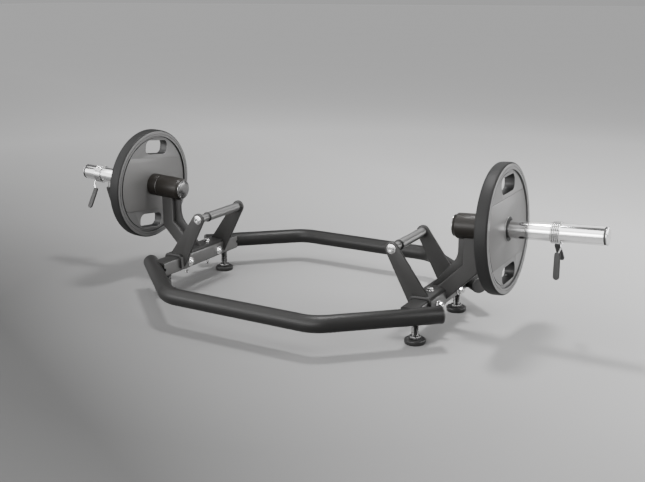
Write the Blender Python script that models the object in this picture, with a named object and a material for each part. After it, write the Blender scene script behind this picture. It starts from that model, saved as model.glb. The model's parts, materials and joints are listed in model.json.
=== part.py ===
# Hexagonal deadlift bar with two loaded plates, raised handles and levelling feet.
#
# Metres, +Z up. The origin is on the floor under the middle of the bar, +X runs along the
# bar to the lifter's right and +Y to the rear. The left half mirrors the right one, apart
# from the places of the two spring collars and how far the plates have turned.

import math

import bmesh
import bpy
from mathutils import Matrix, Vector

# Clearances
SEAT_GAP = 0.0003           # between faces that touch
RUNNING_GAP = 0.0005        # between faces that turn past each other
BORE_GAP = 0.0003           # radial, a shaft in its bore

# Facets round a piece
PIPE_SIDES = 16
ROUND_SIDES = 20
PLATE_SIDES = 40
SMALL_SIDES = 12
FOOT_SIDES = 16

# Bent pipe rails
PIPE_DIAMETER = 0.0483
PIPE_WALL = 0.003
RAIL_HEIGHT = 0.0925        # pipe centre above the floor
RAIL_OFFSET = 0.383         # middle run, from the centre plane
RAIL_HALF_RUN = 0.242       # where the middle run meets the leg's line
RAIL_END_X = 0.502          # leg's end, from the centre
RAIL_END_Y = 0.1465
RAIL_BEND_RADIUS = 0.095
CAP_PLUG_LENGTH = 0.014
CAP_LIP = 0.003
CAP_CROWN = 0.0035

# Crossmember, a box tube under each handle
BEAM_X = 0.430
BEAM_WIDTH = 0.050
BEAM_HEIGHT = 0.046
BEAM_WALL = 0.003
BEAM_CORNER = 0.004

# Saddle, a bent plate over the crossmember
SADDLE_PLATE = 0.008
SADDLE_HALF_LENGTH = 0.1225
SADDLE_DROP = 0.0445        # top face to the flanges' lower edge
SADDLE_OUTER_CORNER = 0.012

# Bolts through the saddle's flanges
BOLT_DIAMETER = 0.012
BOLT_Y = 0.076
BOLT_DROP = 0.0318          # below the saddle's top face
BOLT_HEAD_RADIUS = 0.0105
BOLT_HEAD_HEIGHT = 0.0075
BOLT_WASHER_RADIUS = 0.0135
BOLT_WASHER = 0.0025
BOLT_NUT_RADIUS = 0.0105
BOLT_NUT_HEIGHT = 0.0100
BOLT_THREAD_END = 0.0070    # thread showing past the nut

# Handle arms and handle
ARM_PLATE = 0.008
ARM_OUTER_FACE = 0.112      # from the centre plane
HANDLE_X = 0.334
HANDLE_Z = 0.2445
ARM_EYE_RADIUS = 0.020
ARM_FOOT_X = 0.447          # arm's outer edge on the saddle's top
ARM_TIP_Z = 0.083           # arm's lowest point, on the saddle's flange
GRIP_DIAMETER = 0.028
GRIP_SPACER_DIAMETER = 0.0245
GRIP_RING_DIAMETER = 0.0315
GRIP_RING = 0.003
GRIP_START_Y = -0.060
HANDLE_BOLT_DIAMETER = 0.012
HANDLE_WASHER_RADIUS = 0.0135
HANDLE_WASHER = 0.002
HANDLE_HEAD_RADIUS = 0.0105
HANDLE_HEAD_HEIGHT = 0.0065

# Sleeve axis, which rises outwards
AXIS_X = 0.4775             # barrel's inner end
AXIS_Z = 0.3061
AXIS_RISE = math.radians(3.13)

# Barrel, the bearing housing at the top of the sleeve arm
BARREL_DIAMETER = 0.072
BARREL_BORE = 0.056
BARREL_LENGTH = 0.088
BARREL_CHAMFER = 0.0065
BARREL_CHAMFER_LENGTH = 0.009
BARREL_CAP_RADIUS = 0.0292
BARREL_CAP_CROWN = 0.0070
BARREL_PLUG_LENGTH = 0.003

# Sleeve arm, a mitred box tube, and its gusset
SLEEVE_ARM_X = 0.5305
SLEEVE_ARM_WIDTH = 0.045
SLEEVE_ARM_DEPTH = 0.038
SLEEVE_ARM_WALL = 0.0035
SLEEVE_ARM_MITRE_Z = 0.1895
SLEEVE_ARM_CORNER = 0.003
GUSSET_PLATE = 0.008
GUSSET_TOP_WIDTH = 0.020    # from the sleeve arm's inner face
GUSSET_FOOT_X = 0.412
GUSSET_KNEE_Z = 0.215
GUSSET_BEND_RADIUS = 0.060

# Turning parts on the sleeve axis
SPINDLE_DIAMETER = 0.040
SPINDLE_THREAD_DIAMETER = 0.030
SPINDLE_NUT_RADIUS = 0.025
SPINDLE_NUT_THICKNESS = 0.007
SPINDLE_REACH = 0.110       # into the sleeve
SLEEVE_DIAMETER = 0.050
SLEEVE_LENGTH = 0.3214
SLEEVE_PLUG_LENGTH = 0.018
SLEEVE_RING = 0.0035
SLEEVE_RING_INSET = 0.0012
SLEEVE_CAP_CROWN = 0.0042
SLEEVE_CAP_EDGE = 0.0012

# Weight plate and its hub
PLATE_RADIUS = 0.181
PLATE_OUTER_FACE = 0.1545   # rim's outer face, along the sleeve axis
PLATE_RIM = 0.036           # rim thickness
PLATE_RIM_WIDTH = 0.021
PLATE_RIM_ROUND = 0.006
PLATE_WEB = 0.029           # thickness beyond the band
PLATE_BAND = 0.031          # thickness of the band across the middle
PLATE_BAND_HALF_HEIGHT = 0.088
PLATE_GROOVE = 0.0025       # between band and rim
PLATE_SLOT_WIDTH = 0.106
PLATE_SLOT_HEIGHT = 0.046
PLATE_SLOT_CENTRE = 0.123
PLATE_SLOT_CORNER = 0.018
HUB_RADIUS = 0.031
HUB_FLANGE_RADIUS = 0.0345
HUB_FLANGE = 0.0015
PLATE_TURN = {1: 0.0, -1: math.radians(-7.0)}

# Spring collar
WIRE_DIAMETER = 0.0044
COIL_GAP = 0.00065          # between neighbouring turns
COIL_TURNS = 5
COIL_POINTS = 16            # points a turn
LEVER_SPREAD = math.radians(50.0)
LEVER_BEND_RADIUS = 0.0058
LEVER_GRIP_START = 0.0525   # from the axis
LEVER_GRIP_END = 0.1255
LEVER_GRIP_WIDTH = 0.017
LEVER_GRIP_THICKNESS = 0.0075
LEVER_WIRE_HOLD = 0.012     # wire inside the grip
LEVER_GRIP_SHIFT = {-1: 0.003, 1: -0.010}   # of the grips' middles from the coil's, along the axis
COLLAR_PLACE_RIGHT = 0.284  # coil's middle, along the sleeve axis
COLLAR_PLACE_LEFT = 0.352
COLLAR_PLACE = {1: COLLAR_PLACE_RIGHT, -1: COLLAR_PLACE_LEFT}
COLLAR_TURN = {1: math.radians(16.0), -1: math.radians(-4.0)}

# Levelling feet
FOOT_Y = 0.152
FOOT_PAD_RADIUS = 0.030
FOOT_PAD_EDGE = 0.0105
FOOT_PAD_HEIGHT = 0.0135
FOOT_PAD_TOP_RADIUS = 0.0262
FOOT_PAD_CHAMFER = 0.0020
FOOT_PAD_SHOULDER = 0.0012   # how far the rounded shoulder has drawn in halfway up
FOOT_STUD_DIAMETER = 0.020
FOOT_SOCKET_FLOOR = 0.006
FOOT_HEX_RADIUS = 0.0175
FOOT_HEX_HEIGHT = 0.0085
FOOT_BOSS_RADIUS = 0.016
FOOT_BOSS_HEIGHT = 0.012

# Worked out from the sizes above
PIPE_RADIUS = PIPE_DIAMETER / 2
BEAM_TOP = RAIL_HEIGHT + BEAM_HEIGHT / 2
BEAM_BOTTOM = RAIL_HEIGHT - BEAM_HEIGHT / 2
SADDLE_TOP = BEAM_TOP + SEAT_GAP + SADDLE_PLATE
SADDLE_HALF_WIDTH = BEAM_WIDTH / 2 + SEAT_GAP + SADDLE_PLATE
BOLT_Z = SADDLE_TOP - BOLT_DROP
COIL_PITCH = WIRE_DIAMETER + COIL_GAP
STOP_START = BARREL_LENGTH + RUNNING_GAP
PLATE_MIDDLE = PLATE_OUTER_FACE - PLATE_RIM / 2
STOP_END = PLATE_MIDDLE - PLATE_BAND / 2 - SEAT_GAP
SLEEVE_END = STOP_START + SLEEVE_LENGTH


def clear_scene():
    for item in list(bpy.data.objects):
        bpy.data.objects.remove(item, do_unlink=True)


def make_material(name, colour, roughness, metallic):
    material = bpy.data.materials.new(name)
    material.use_nodes = True
    shader = material.node_tree.nodes["Principled BSDF"]
    shader.inputs["Base Color"].default_value = (*colour, 1.0)
    shader.inputs["Roughness"].default_value = roughness
    shader.inputs["Metallic"].default_value = metallic
    material.diffuse_color = (*colour, 1.0)
    return material


def make_object(name, bm, material, parent=None):
    bmesh.ops.recalc_face_normals(bm, faces=bm.faces)
    mesh = bpy.data.meshes.new(name)
    bm.to_mesh(mesh)
    bm.free()
    return place_mesh(name, mesh, material, parent)


def place_mesh(name, mesh, material, parent=None):
    mesh.materials.clear()
    mesh.materials.append(material)
    mesh.shade_smooth()
    mesh.set_sharp_from_angle(angle=math.radians(32))
    item = bpy.data.objects.new(name, mesh)
    bpy.context.scene.collection.objects.link(item)
    item.parent = parent
    return item


def make_empty(name, matrix):
    empty = bpy.data.objects.new(name, None)
    bpy.context.scene.collection.objects.link(empty)
    empty.matrix_world = matrix
    return empty


def evaluated_mesh(item):
    bpy.context.view_layer.update()
    graph = bpy.context.evaluated_depsgraph_get()
    return bpy.data.meshes.new_from_object(item.evaluated_get(graph))


def combine(item, others, operation):
    """Cuts the others out of an object, or joins them to it, and removes them."""
    for number, other in enumerate(others):
        modifier = item.modifiers.new(f"{operation.lower()}_{number}", "BOOLEAN")
        modifier.operation = operation
        modifier.solver = "EXACT"
        modifier.object = other
    material = item.data.materials[0]
    mesh = evaluated_mesh(item)
    item.modifiers.clear()
    item.data = mesh
    mesh.materials.clear()
    mesh.materials.append(material)
    mesh.shade_smooth()
    mesh.set_sharp_from_angle(angle=math.radians(32))
    for other in others:
        bpy.data.objects.remove(other, do_unlink=True)
    return item


def turned_mesh(profile, sides):
    """Turns a profile of (radius, height) points about Z. A profile that starts and ends on
    the axis is solid there, and any other one closes on itself."""
    bm = bmesh.new()
    points = [bm.verts.new((radius, 0.0, height)) for radius, height in profile]
    edges = [bm.edges.new(pair) for pair in zip(points, points[1:])]
    if profile[0][0] > 0.0:
        edges.append(bm.edges.new((points[-1], points[0])))
    bmesh.ops.spin(bm, geom=points + edges, cent=(0, 0, 0), axis=(0, 0, 1),
                   angle=math.tau, steps=sides, use_merge=True)
    bmesh.ops.remove_doubles(bm, verts=bm.verts, dist=0.000001)
    return bm


def turned(name, profile, sides, material, parent=None):
    return make_object(name, turned_mesh(profile, sides), material, parent)


def prism(name, outline, start, end, axis, material, parent=None):
    """Extrudes a flat outline along X, Y or Z, from start to end."""
    order = {"X": (2, 0, 1), "Y": (0, 2, 1), "Z": (0, 1, 2)}[axis]
    bm = bmesh.new()
    corners = []
    for first, second in outline:
        flat = (first, second, start)
        corners.append(bm.verts.new([flat[place] for place in order]))
    face = bm.faces.new(corners)
    shift = Vector([(0.0, 0.0, end - start)[place] for place in order])
    grown = bmesh.ops.extrude_face_region(bm, geom=[face])["geom"]
    moved = [part for part in grown if isinstance(part, bmesh.types.BMVert)]
    bmesh.ops.translate(bm, verts=moved, vec=shift)
    return make_object(name, bm, material, parent)


def arc(centre, radius, start, end, steps):
    """Points on a circle's arc in a plane, angles in radians, both ends included."""
    return [(centre[0] + radius * math.cos(start + (end - start) * step / steps),
             centre[1] + radius * math.sin(start + (end - start) * step / steps))
            for step in range(steps + 1)]


def rounded_box(half_width, half_height, corner, steps):
    outline = []
    for quarter, (across, up) in enumerate(((1, 1), (-1, 1), (-1, -1), (1, -1))):
        centre = (across * (half_width - corner), up * (half_height - corner))
        start = quarter * math.pi / 2
        outline += arc(centre, corner, start, start + math.pi / 2, steps)
    return outline


def cylinder_between(name, start, end, radius, sides, material, parent=None):
    start = Vector(start)
    along = Vector(end) - start
    bm = bmesh.new()
    turn = along.to_track_quat("Z", "Y").to_matrix().to_4x4()
    matrix = Matrix.Translation(start + along / 2) @ turn
    bmesh.ops.create_cone(bm, cap_ends=True, segments=sides, radius1=radius, radius2=radius,
                          depth=along.length, matrix=matrix)
    return make_object(name, bm, material, parent)


def hexagon(name, start, end, radius, material, parent=None):
    return cylinder_between(name, start, end, radius, 6, material, parent)


def wire(name, points, diameter, material, parent=None):
    """A round wire along points, with closed ends."""
    curve = bpy.data.curves.new(name, "CURVE")
    curve.dimensions = "3D"
    curve.bevel_depth = diameter / 2
    curve.bevel_resolution = 1
    curve.use_fill_caps = True
    spline = curve.splines.new("POLY")
    spline.points.add(len(points) - 1)
    for place, point in zip(spline.points, points):
        place.co = (*point, 1.0)
    guide = bpy.data.objects.new(name + "_guide", curve)
    bpy.context.scene.collection.objects.link(guide)
    mesh = evaluated_mesh(guide)
    bpy.data.objects.remove(guide, do_unlink=True)
    return place_mesh(name, mesh, material, parent)


# Rails

def leg_direction():
    run = Vector((RAIL_END_X - RAIL_HALF_RUN, RAIL_OFFSET - RAIL_END_Y, 0.0))
    return run.normalized(), run.length


def leg_y(x):
    """How far the leg's middle is from the centre plane, at a distance along the bar."""
    direction, _ = leg_direction()
    return RAIL_END_Y + (RAIL_END_X - x) * direction.y / direction.x


def make_rail(name, front, material):
    """A pipe bent twice. The rail at the front has front = -1 and the rear one +1."""
    direction, leg_length = leg_direction()
    bend = math.atan2(direction.y, direction.x)
    tangent = RAIL_BEND_RADIUS * math.tan(bend / 2)
    start = Vector((-RAIL_END_X, front * RAIL_END_Y, RAIL_HEIGHT))
    out = Vector((direction.x, front * direction.y, 0.0))
    bm = bmesh.new()
    turn = out.to_track_quat("Z", "Y").to_matrix().to_4x4()
    matrix = Matrix.Translation(start) @ turn
    for radius in (PIPE_RADIUS, PIPE_RADIUS - PIPE_WALL):
        bmesh.ops.create_circle(bm, segments=PIPE_SIDES, radius=radius, matrix=matrix)
    bmesh.ops.bridge_loops(bm, edges=bm.edges)
    faces = list(bm.faces)

    def region(faces):
        return list({part for face in faces for part in (face, *face.edges, *face.verts)})

    def push(faces, shift):
        grown = bmesh.ops.extrude_face_region(bm, geom=region(faces))["geom"]
        verts = [part for part in grown if isinstance(part, bmesh.types.BMVert)]
        bmesh.ops.translate(bm, verts=verts, vec=shift)
        return [part for part in grown if isinstance(part, bmesh.types.BMFace)]

    def swing(faces, x):
        centre = (x, front * (RAIL_OFFSET - RAIL_BEND_RADIUS), RAIL_HEIGHT)
        last = bmesh.ops.spin(bm, geom=region(faces), cent=centre, axis=(0, 0, 1),
                              angle=-front * bend, steps=7)["geom_last"]
        return [part for part in last if isinstance(part, bmesh.types.BMFace)]

    faces = push(faces, out * (leg_length - tangent))
    faces = swing(faces, -RAIL_HALF_RUN + tangent)
    faces = push(faces, Vector((2 * (RAIL_HALF_RUN - tangent), 0.0, 0.0)))
    faces = swing(faces, RAIL_HALF_RUN - tangent)
    push(faces, Vector((out.x, -out.y, 0.0)) * (leg_length - tangent))
    return make_object(name, bm, material)


def make_rail_cap(name, side, front, material):
    direction, _ = leg_direction()
    out = Vector((side * direction.x, -front * direction.y, 0.0))
    end = Vector((side * RAIL_END_X, front * RAIL_END_Y, RAIL_HEIGHT))
    empty = make_empty(name + "_seat",
                       Matrix.Translation(end) @ out.to_track_quat("Z", "Y").to_matrix().to_4x4())
    plug = PIPE_RADIUS - PIPE_WALL - SEAT_GAP
    crown = SEAT_GAP + CAP_LIP + CAP_CROWN
    profile = [(0.0, -CAP_PLUG_LENGTH), (plug, -CAP_PLUG_LENGTH), (plug, SEAT_GAP),
               (PIPE_RADIUS, SEAT_GAP), (PIPE_RADIUS, SEAT_GAP + CAP_LIP),
               (PIPE_RADIUS * 0.88, SEAT_GAP + CAP_LIP + CAP_CROWN * 0.65), (0.0, crown)]
    return turned(name, profile, PIPE_SIDES, material, empty)


def rail_cope(side, front, material):
    """What the pipe takes out of a crossmember's end: a half round, and all beyond it."""
    direction, leg_length = leg_direction()
    out = Vector((side * direction.x, -front * direction.y, 0.0))
    end = Vector((side * RAIL_END_X, front * RAIL_END_Y, RAIL_HEIGHT))
    beyond = Vector((side * direction.y, front * direction.x, 0.0))
    radius = PIPE_RADIUS + SEAT_GAP
    half_round = arc((0.0, 0.0), radius, math.pi / 2, 3 * math.pi / 2, 12)
    outline = [(0.1, radius)] + half_round + [(0.1, -radius)]
    bm = bmesh.new()
    corners = [bm.verts.new(end + beyond * first + Vector((0, 0, second)) + out * 0.05)
               for first, second in outline]
    face = bm.faces.new(corners)
    grown = bmesh.ops.extrude_face_region(bm, geom=[face])["geom"]
    moved = [part for part in grown if isinstance(part, bmesh.types.BMVert)]
    bmesh.ops.translate(bm, verts=moved, vec=out * -(leg_length * 0.9 + 0.05))
    return make_object("rail_cope", bm, material)


# Crossmember and saddle

def make_crossmember(name, side, material):
    reach = leg_y(BEAM_X - BEAM_WIDTH / 2) + PIPE_RADIUS
    centre = side * BEAM_X
    outer = [(centre + across, RAIL_HEIGHT + up) for across, up in
             rounded_box(BEAM_WIDTH / 2, BEAM_HEIGHT / 2, BEAM_CORNER, 3)]
    inner = [(centre + across, RAIL_HEIGHT + up) for across, up in
             rounded_box(BEAM_WIDTH / 2 - BEAM_WALL, BEAM_HEIGHT / 2 - BEAM_WALL, BEAM_CORNER / 3, 1)]
    beam = prism(name, outer, -reach, reach, "Y", material)
    cuts = [prism("hollow", inner, -reach - 0.01, reach + 0.01, "Y", material)]
    combine(beam, cuts, "DIFFERENCE")
    bosses = []
    for front in (-1, 1):
        foot = (centre, front * FOOT_Y)
        bosses.append(cylinder_between("boss", (*foot, BEAM_BOTTOM + BEAM_WALL / 2),
                                       (*foot, BEAM_BOTTOM + BEAM_WALL + FOOT_BOSS_HEIGHT),
                                       FOOT_BOSS_RADIUS, FOOT_SIDES, material))
    combine(beam, bosses, "UNION")
    cuts = []
    for front in (-1, 1):
        cuts.append(rail_cope(side, front, material))
        foot = (centre, front * FOOT_Y)
        cuts.append(cylinder_between("stud_hole", (*foot, BEAM_BOTTOM - 0.01),
                                     (*foot, BEAM_BOTTOM + BEAM_WALL + FOOT_BOSS_HEIGHT + 0.001),
                                     FOOT_STUD_DIAMETER / 2 + BORE_GAP, FOOT_SIDES, material))
        cuts.append(bolt_hole(side, front * BOLT_Y, material))
    return combine(beam, cuts, "DIFFERENCE")


def bolt_hole(side, y, material):
    reach = SADDLE_HALF_WIDTH + 0.01
    return cylinder_between("bolt_hole", (side * BEAM_X - reach, y, BOLT_Z),
                            (side * BEAM_X + reach, y, BOLT_Z),
                            BOLT_DIAMETER / 2 + BORE_GAP, SMALL_SIDES, material)


def saddle_outline(grow, bottom):
    """The saddle's outer outline from the side, (distance from the beam's middle, height)."""
    half = SADDLE_HALF_WIDTH + grow
    top = SADDLE_TOP + grow
    corner = SADDLE_OUTER_CORNER + grow
    outline = [(half, bottom)]
    outline += arc((half - corner, top - corner), corner, 0.0, math.pi / 2, 5)
    outline += arc((corner - half, top - corner), corner, math.pi / 2, math.pi, 5)
    outline.append((-half, bottom))
    return outline


def make_saddle(name, side, material):
    bottom = SADDLE_TOP - SADDLE_DROP
    inner_half = BEAM_WIDTH / 2 + SEAT_GAP
    inner_top = BEAM_TOP + SEAT_GAP
    corner = SADDLE_OUTER_CORNER - SADDLE_PLATE
    inner = [(-inner_half, bottom)]
    inner += arc((corner - inner_half, inner_top - corner), corner, math.pi, math.pi / 2, 3)
    inner += arc((inner_half - corner, inner_top - corner), corner, math.pi / 2, 0.0, 3)
    inner.append((inner_half, bottom))
    outline = [(side * BEAM_X + across, up) for across, up in saddle_outline(0.0, bottom) + inner]
    saddle = prism(name, outline, -SADDLE_HALF_LENGTH, SADDLE_HALF_LENGTH, "Y", material)
    holes = [bolt_hole(side, front * BOLT_Y, material) for front in (-1, 1)]
    return combine(saddle, holes, "DIFFERENCE")


def make_saddle_bolt(name, side, front, material):
    """Washer and domed head on the inner flange, washer and nut on the outer one."""
    y = front * BOLT_Y
    centre = Vector((side * BEAM_X, y, BOLT_Z))
    out = Vector((side, 0, 0))
    face = SADDLE_HALF_WIDTH + SEAT_GAP
    empty = make_empty(name + "_seat",
                       Matrix.Translation(centre) @ out.to_track_quat("Z", "Y").to_matrix().to_4x4())
    head = -face - BOLT_WASHER
    end = face + BOLT_WASHER + BOLT_NUT_HEIGHT + BOLT_THREAD_END
    shank = BOLT_DIAMETER / 2
    profile = [(0.0, head - BOLT_HEAD_HEIGHT), (BOLT_HEAD_RADIUS * 0.6, head - BOLT_HEAD_HEIGHT * 0.88),
               (BOLT_HEAD_RADIUS * 0.92, head - BOLT_HEAD_HEIGHT * 0.5), (BOLT_HEAD_RADIUS, head),
               (BOLT_WASHER_RADIUS, head), (BOLT_WASHER_RADIUS, -face), (shank, -face), (shank, face),
               (BOLT_WASHER_RADIUS, face), (BOLT_WASHER_RADIUS, face + BOLT_WASHER),
               (shank, face + BOLT_WASHER), (shank, end - 0.0015), (shank - 0.0015, end), (0.0, end)]
    bolt = turned(name, profile, SMALL_SIDES, material, empty)
    nut = hexagon("nut", (0, 0, face + BOLT_WASHER * 0.6), (0, 0, face + BOLT_WASHER + BOLT_NUT_HEIGHT),
                  BOLT_NUT_RADIUS, material, empty)
    return combine(bolt, [nut], "UNION")


# Handle

def make_handle_arm(name, side, front, material):
    """A plate with a round eye at the handle, notched over the saddle's top and flange."""
    eye = Vector((HANDLE_X, HANDLE_Z))
    reach = SEAT_GAP
    notch = [(BEAM_X + across, up) for across, up in saddle_outline(reach, ARM_TIP_Z)]
    top = SADDLE_TOP + reach
    foot = Vector((ARM_FOOT_X, top))
    tip = Vector((BEAM_X - SADDLE_HALF_WIDTH - reach, ARM_TIP_Z))

    def tangent_angle(point, sign):
        """The angle at the eye where a line from the point touches it."""
        away = point - eye
        return math.atan2(away.y, away.x) + sign * math.acos(ARM_EYE_RADIUS / away.length)

    outer = tangent_angle(foot, 1)
    inner = tangent_angle(tip, -1) + math.tau
    outline = [tuple(foot)] + arc(eye, ARM_EYE_RADIUS, outer, inner, 14)
    outline.append(tuple(tip))
    outline += [point for point in reversed(notch) if point[0] < ARM_FOOT_X and point[1] > ARM_TIP_Z]
    outline = [(side * across, up) for across, up in outline]
    near = front * (ARM_OUTER_FACE - ARM_PLATE)
    far = front * ARM_OUTER_FACE
    arm = prism(name, outline, near, far, "Y", material)
    hole = cylinder_between("handle_hole", (side * HANDLE_X, near - front * 0.01, HANDLE_Z),
                            (side * HANDLE_X, far + front * 0.01, HANDLE_Z),
                            HANDLE_BOLT_DIAMETER / 2 + BORE_GAP, SMALL_SIDES, material)
    return combine(arm, [hole], "DIFFERENCE")


def handle_seat(name, side):
    turn = Vector((0, 1, 0)).to_track_quat("Z", "X").to_matrix().to_4x4()
    return make_empty(name, Matrix.Translation((side * HANDLE_X, 0.0, HANDLE_Z)) @ turn)


def make_handle_grip(name, seat, material):
    """A tube with a narrow spacer at the front, a ring, the grip, and a ring at the rear."""
    end = ARM_OUTER_FACE - ARM_PLATE - SEAT_GAP
    bore = HANDLE_BOLT_DIAMETER / 2 + BORE_GAP
    spacer = GRIP_SPACER_DIAMETER / 2
    grip = GRIP_DIAMETER / 2
    ring = GRIP_RING_DIAMETER / 2
    profile = [(bore, -end), (spacer, -end), (spacer, GRIP_START_Y - GRIP_RING), (ring, GRIP_START_Y - GRIP_RING),
               (ring, GRIP_START_Y), (grip, GRIP_START_Y), (grip, end - 2 * GRIP_RING), (ring, end - 2 * GRIP_RING),
               (ring, end), (bore, end)]
    return turned(name, profile, ROUND_SIDES, material, seat)


def make_handle_bolt(name, seat, material):
    """One long bolt through both arms and the grip."""
    face = ARM_OUTER_FACE + SEAT_GAP
    shank = HANDLE_BOLT_DIAMETER / 2
    washer = face + HANDLE_WASHER
    profile = [(0.0, -washer - 0.0005), (shank, -washer - 0.0005), (shank, -washer), (HANDLE_WASHER_RADIUS, -washer),
               (HANDLE_WASHER_RADIUS, -face), (shank, -face), (shank, face), (HANDLE_WASHER_RADIUS, face),
               (HANDLE_WASHER_RADIUS, washer), (shank, washer), (shank, washer + HANDLE_HEAD_HEIGHT + 0.002),
               (0.0, washer + HANDLE_HEAD_HEIGHT + 0.003)]
    bolt = turned(name, profile, SMALL_SIDES, material, seat)
    head = hexagon("head", (0, 0, -face - HANDLE_WASHER * 0.6), (0, 0, -washer - HANDLE_HEAD_HEIGHT),
                   HANDLE_HEAD_RADIUS, material, seat)
    nut = hexagon("nut", (0, 0, face + HANDLE_WASHER * 0.6), (0, 0, washer + HANDLE_HEAD_HEIGHT),
                  HANDLE_HEAD_RADIUS, material, seat)
    return combine(bolt, [head, nut], "UNION")


# Sleeve arm and gusset

def axis_matrix(side):
    """Local Z runs outwards along the sleeve axis, local X down."""
    out = Vector((side * math.cos(AXIS_RISE), 0.0, math.sin(AXIS_RISE)))
    down = Vector((side * math.sin(AXIS_RISE), 0.0, -math.cos(AXIS_RISE)))
    back = out.cross(down)
    turn = Matrix((down, back, out)).transposed().to_4x4()
    return Matrix.Translation((side * AXIS_X, 0.0, AXIS_Z)) @ turn


def barrel_cope(seat, material):
    return cylinder_between("barrel_cope", (0, 0, -0.05), (0, 0, BARREL_LENGTH + 0.05),
                            BARREL_DIAMETER / 2 + SEAT_GAP, 32, material, seat)


def slant_line(offset):
    """Height minus distance along the slanted half of the sleeve arm, offset to its inner side."""
    return SLEEVE_ARM_MITRE_Z - SLEEVE_ARM_X + offset * math.sqrt(2)


def make_sleeve_arm(name, side, seat, material):
    """A box tube, upright under the barrel, then at 45 degrees down to the saddle."""
    across = rounded_box(SLEEVE_ARM_WIDTH / 2, SLEEVE_ARM_DEPTH / 2, SLEEVE_ARM_CORNER, 2)
    hollow = rounded_box(SLEEVE_ARM_WIDTH / 2 - SLEEVE_ARM_WALL, SLEEVE_ARM_DEPTH / 2 - SLEEVE_ARM_WALL,
                         SLEEVE_ARM_CORNER / 3, 1)
    end_x = BEAM_X + 0.010
    stations = [(Vector((SLEEVE_ARM_X, AXIS_Z)), Vector((1.0, 0.0))),
                (Vector((SLEEVE_ARM_X, SLEEVE_ARM_MITRE_Z)), Vector((1.0, -math.tan(math.pi / 8)))),
                (Vector((end_x, end_x + slant_line(0.0))), Vector((1.0, -1.0)).normalized())]

    def swept(label, section, extra):
        bm = bmesh.new()
        rings = []
        for number, (middle, outward) in enumerate(stations):
            centre = middle.copy()
            if number == 0:
                centre.y += extra
            if number == 2:
                centre -= Vector((1.0, 1.0)).normalized() * extra
            rings.append([bm.verts.new((side * (centre.x + outward.x * first), second,
                                        centre.y + outward.y * first)) for first, second in section])
        for lower, upper in zip(rings, rings[1:]):
            for place in range(len(section)):
                after = (place + 1) % len(section)
                bm.faces.new((lower[place], lower[after], upper[after], upper[place]))
        bm.faces.new(rings[0])
        bm.faces.new(rings[-1])
        return make_object(label, bm, material)

    arm = swept(name, across, 0.0)
    saddle = prism("saddle_notch", [(side * (BEAM_X + first), second) for first, second in
                                    saddle_outline(SEAT_GAP, BEAM_BOTTOM - 0.02)],
                   -SADDLE_HALF_LENGTH, SADDLE_HALF_LENGTH, "Y", material)
    cuts = [swept("hollow", hollow, 0.01), barrel_cope(seat, material), saddle]
    return combine(arm, cuts, "DIFFERENCE")


def make_gusset(name, side, seat, material):
    """A plate in the arm's inner corner, with a hollow curved edge."""
    top_x = SLEEVE_ARM_X - SLEEVE_ARM_WIDTH / 2 - GUSSET_TOP_WIDTH
    knee = Vector((top_x, GUSSET_KNEE_Z))
    foot = Vector((GUSSET_FOOT_X, SADDLE_TOP + SEAT_GAP))
    slope = (foot - knee).normalized()
    turn = math.acos(-slope.y)
    tangent = GUSSET_BEND_RADIUS * math.tan(turn / 2)
    centre = (top_x - GUSSET_BEND_RADIUS, GUSSET_KNEE_Z + tangent)
    inner_face = SLEEVE_ARM_X - SLEEVE_ARM_WIDTH / 2 - SEAT_GAP
    line = slant_line(SLEEVE_ARM_WIDTH / 2 + SEAT_GAP)
    outline = [(top_x, AXIS_Z)]
    outline += arc(centre, GUSSET_BEND_RADIUS, 0.0, -turn, 8)
    outline.append(tuple(foot))
    outline.append((foot.y - line, foot.y))
    outline.append((inner_face, inner_face + line))
    outline.append((inner_face, AXIS_Z))
    outline = [(side * across, up) for across, up in outline]
    gusset = prism(name, outline, -GUSSET_PLATE / 2, GUSSET_PLATE / 2, "Y", material)
    return combine(gusset, [barrel_cope(seat, material)], "DIFFERENCE")


# Barrel and turning parts

def make_barrel(name, seat, material):
    outer = BARREL_DIAMETER / 2
    bore = BARREL_BORE / 2
    profile = [(bore, 0.0), (outer - BARREL_CHAMFER, 0.0), (outer, BARREL_CHAMFER_LENGTH),
               (outer, BARREL_LENGTH - 0.001), (outer - 0.001, BARREL_LENGTH), (bore, BARREL_LENGTH)]
    return turned(name, profile, ROUND_SIDES, material, seat)


def make_barrel_cap(name, seat, material):
    plug = BARREL_BORE / 2 - SEAT_GAP
    top = -SEAT_GAP
    edge = BARREL_CAP_RADIUS
    crown = BARREL_CAP_CROWN
    profile = [(0.0, BARREL_PLUG_LENGTH), (plug, BARREL_PLUG_LENGTH), (plug, top), (edge, top), (edge, top - 0.0015)]
    profile += [(edge * math.cos(angle), top - 0.0015 - (crown - 0.0015) * math.sin(angle))
                for angle in (math.pi * step / 8 for step in range(1, 4))]
    profile.append((0.0, top - crown))
    return turned(name, profile, ROUND_SIDES, material, seat)


def spindle_start():
    return BARREL_PLUG_LENGTH + RUNNING_GAP


def bush_start():
    return spindle_start() + SPINDLE_NUT_THICKNESS + RUNNING_GAP


def make_bush(name, seat, material):
    outer = BARREL_BORE / 2 - BORE_GAP
    bore = SPINDLE_DIAMETER / 2 + BORE_GAP
    start = bush_start()
    profile = [(bore, start), (outer, start), (outer, BARREL_LENGTH), (bore, BARREL_LENGTH)]
    return turned(name, profile, ROUND_SIDES, material, seat)


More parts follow.
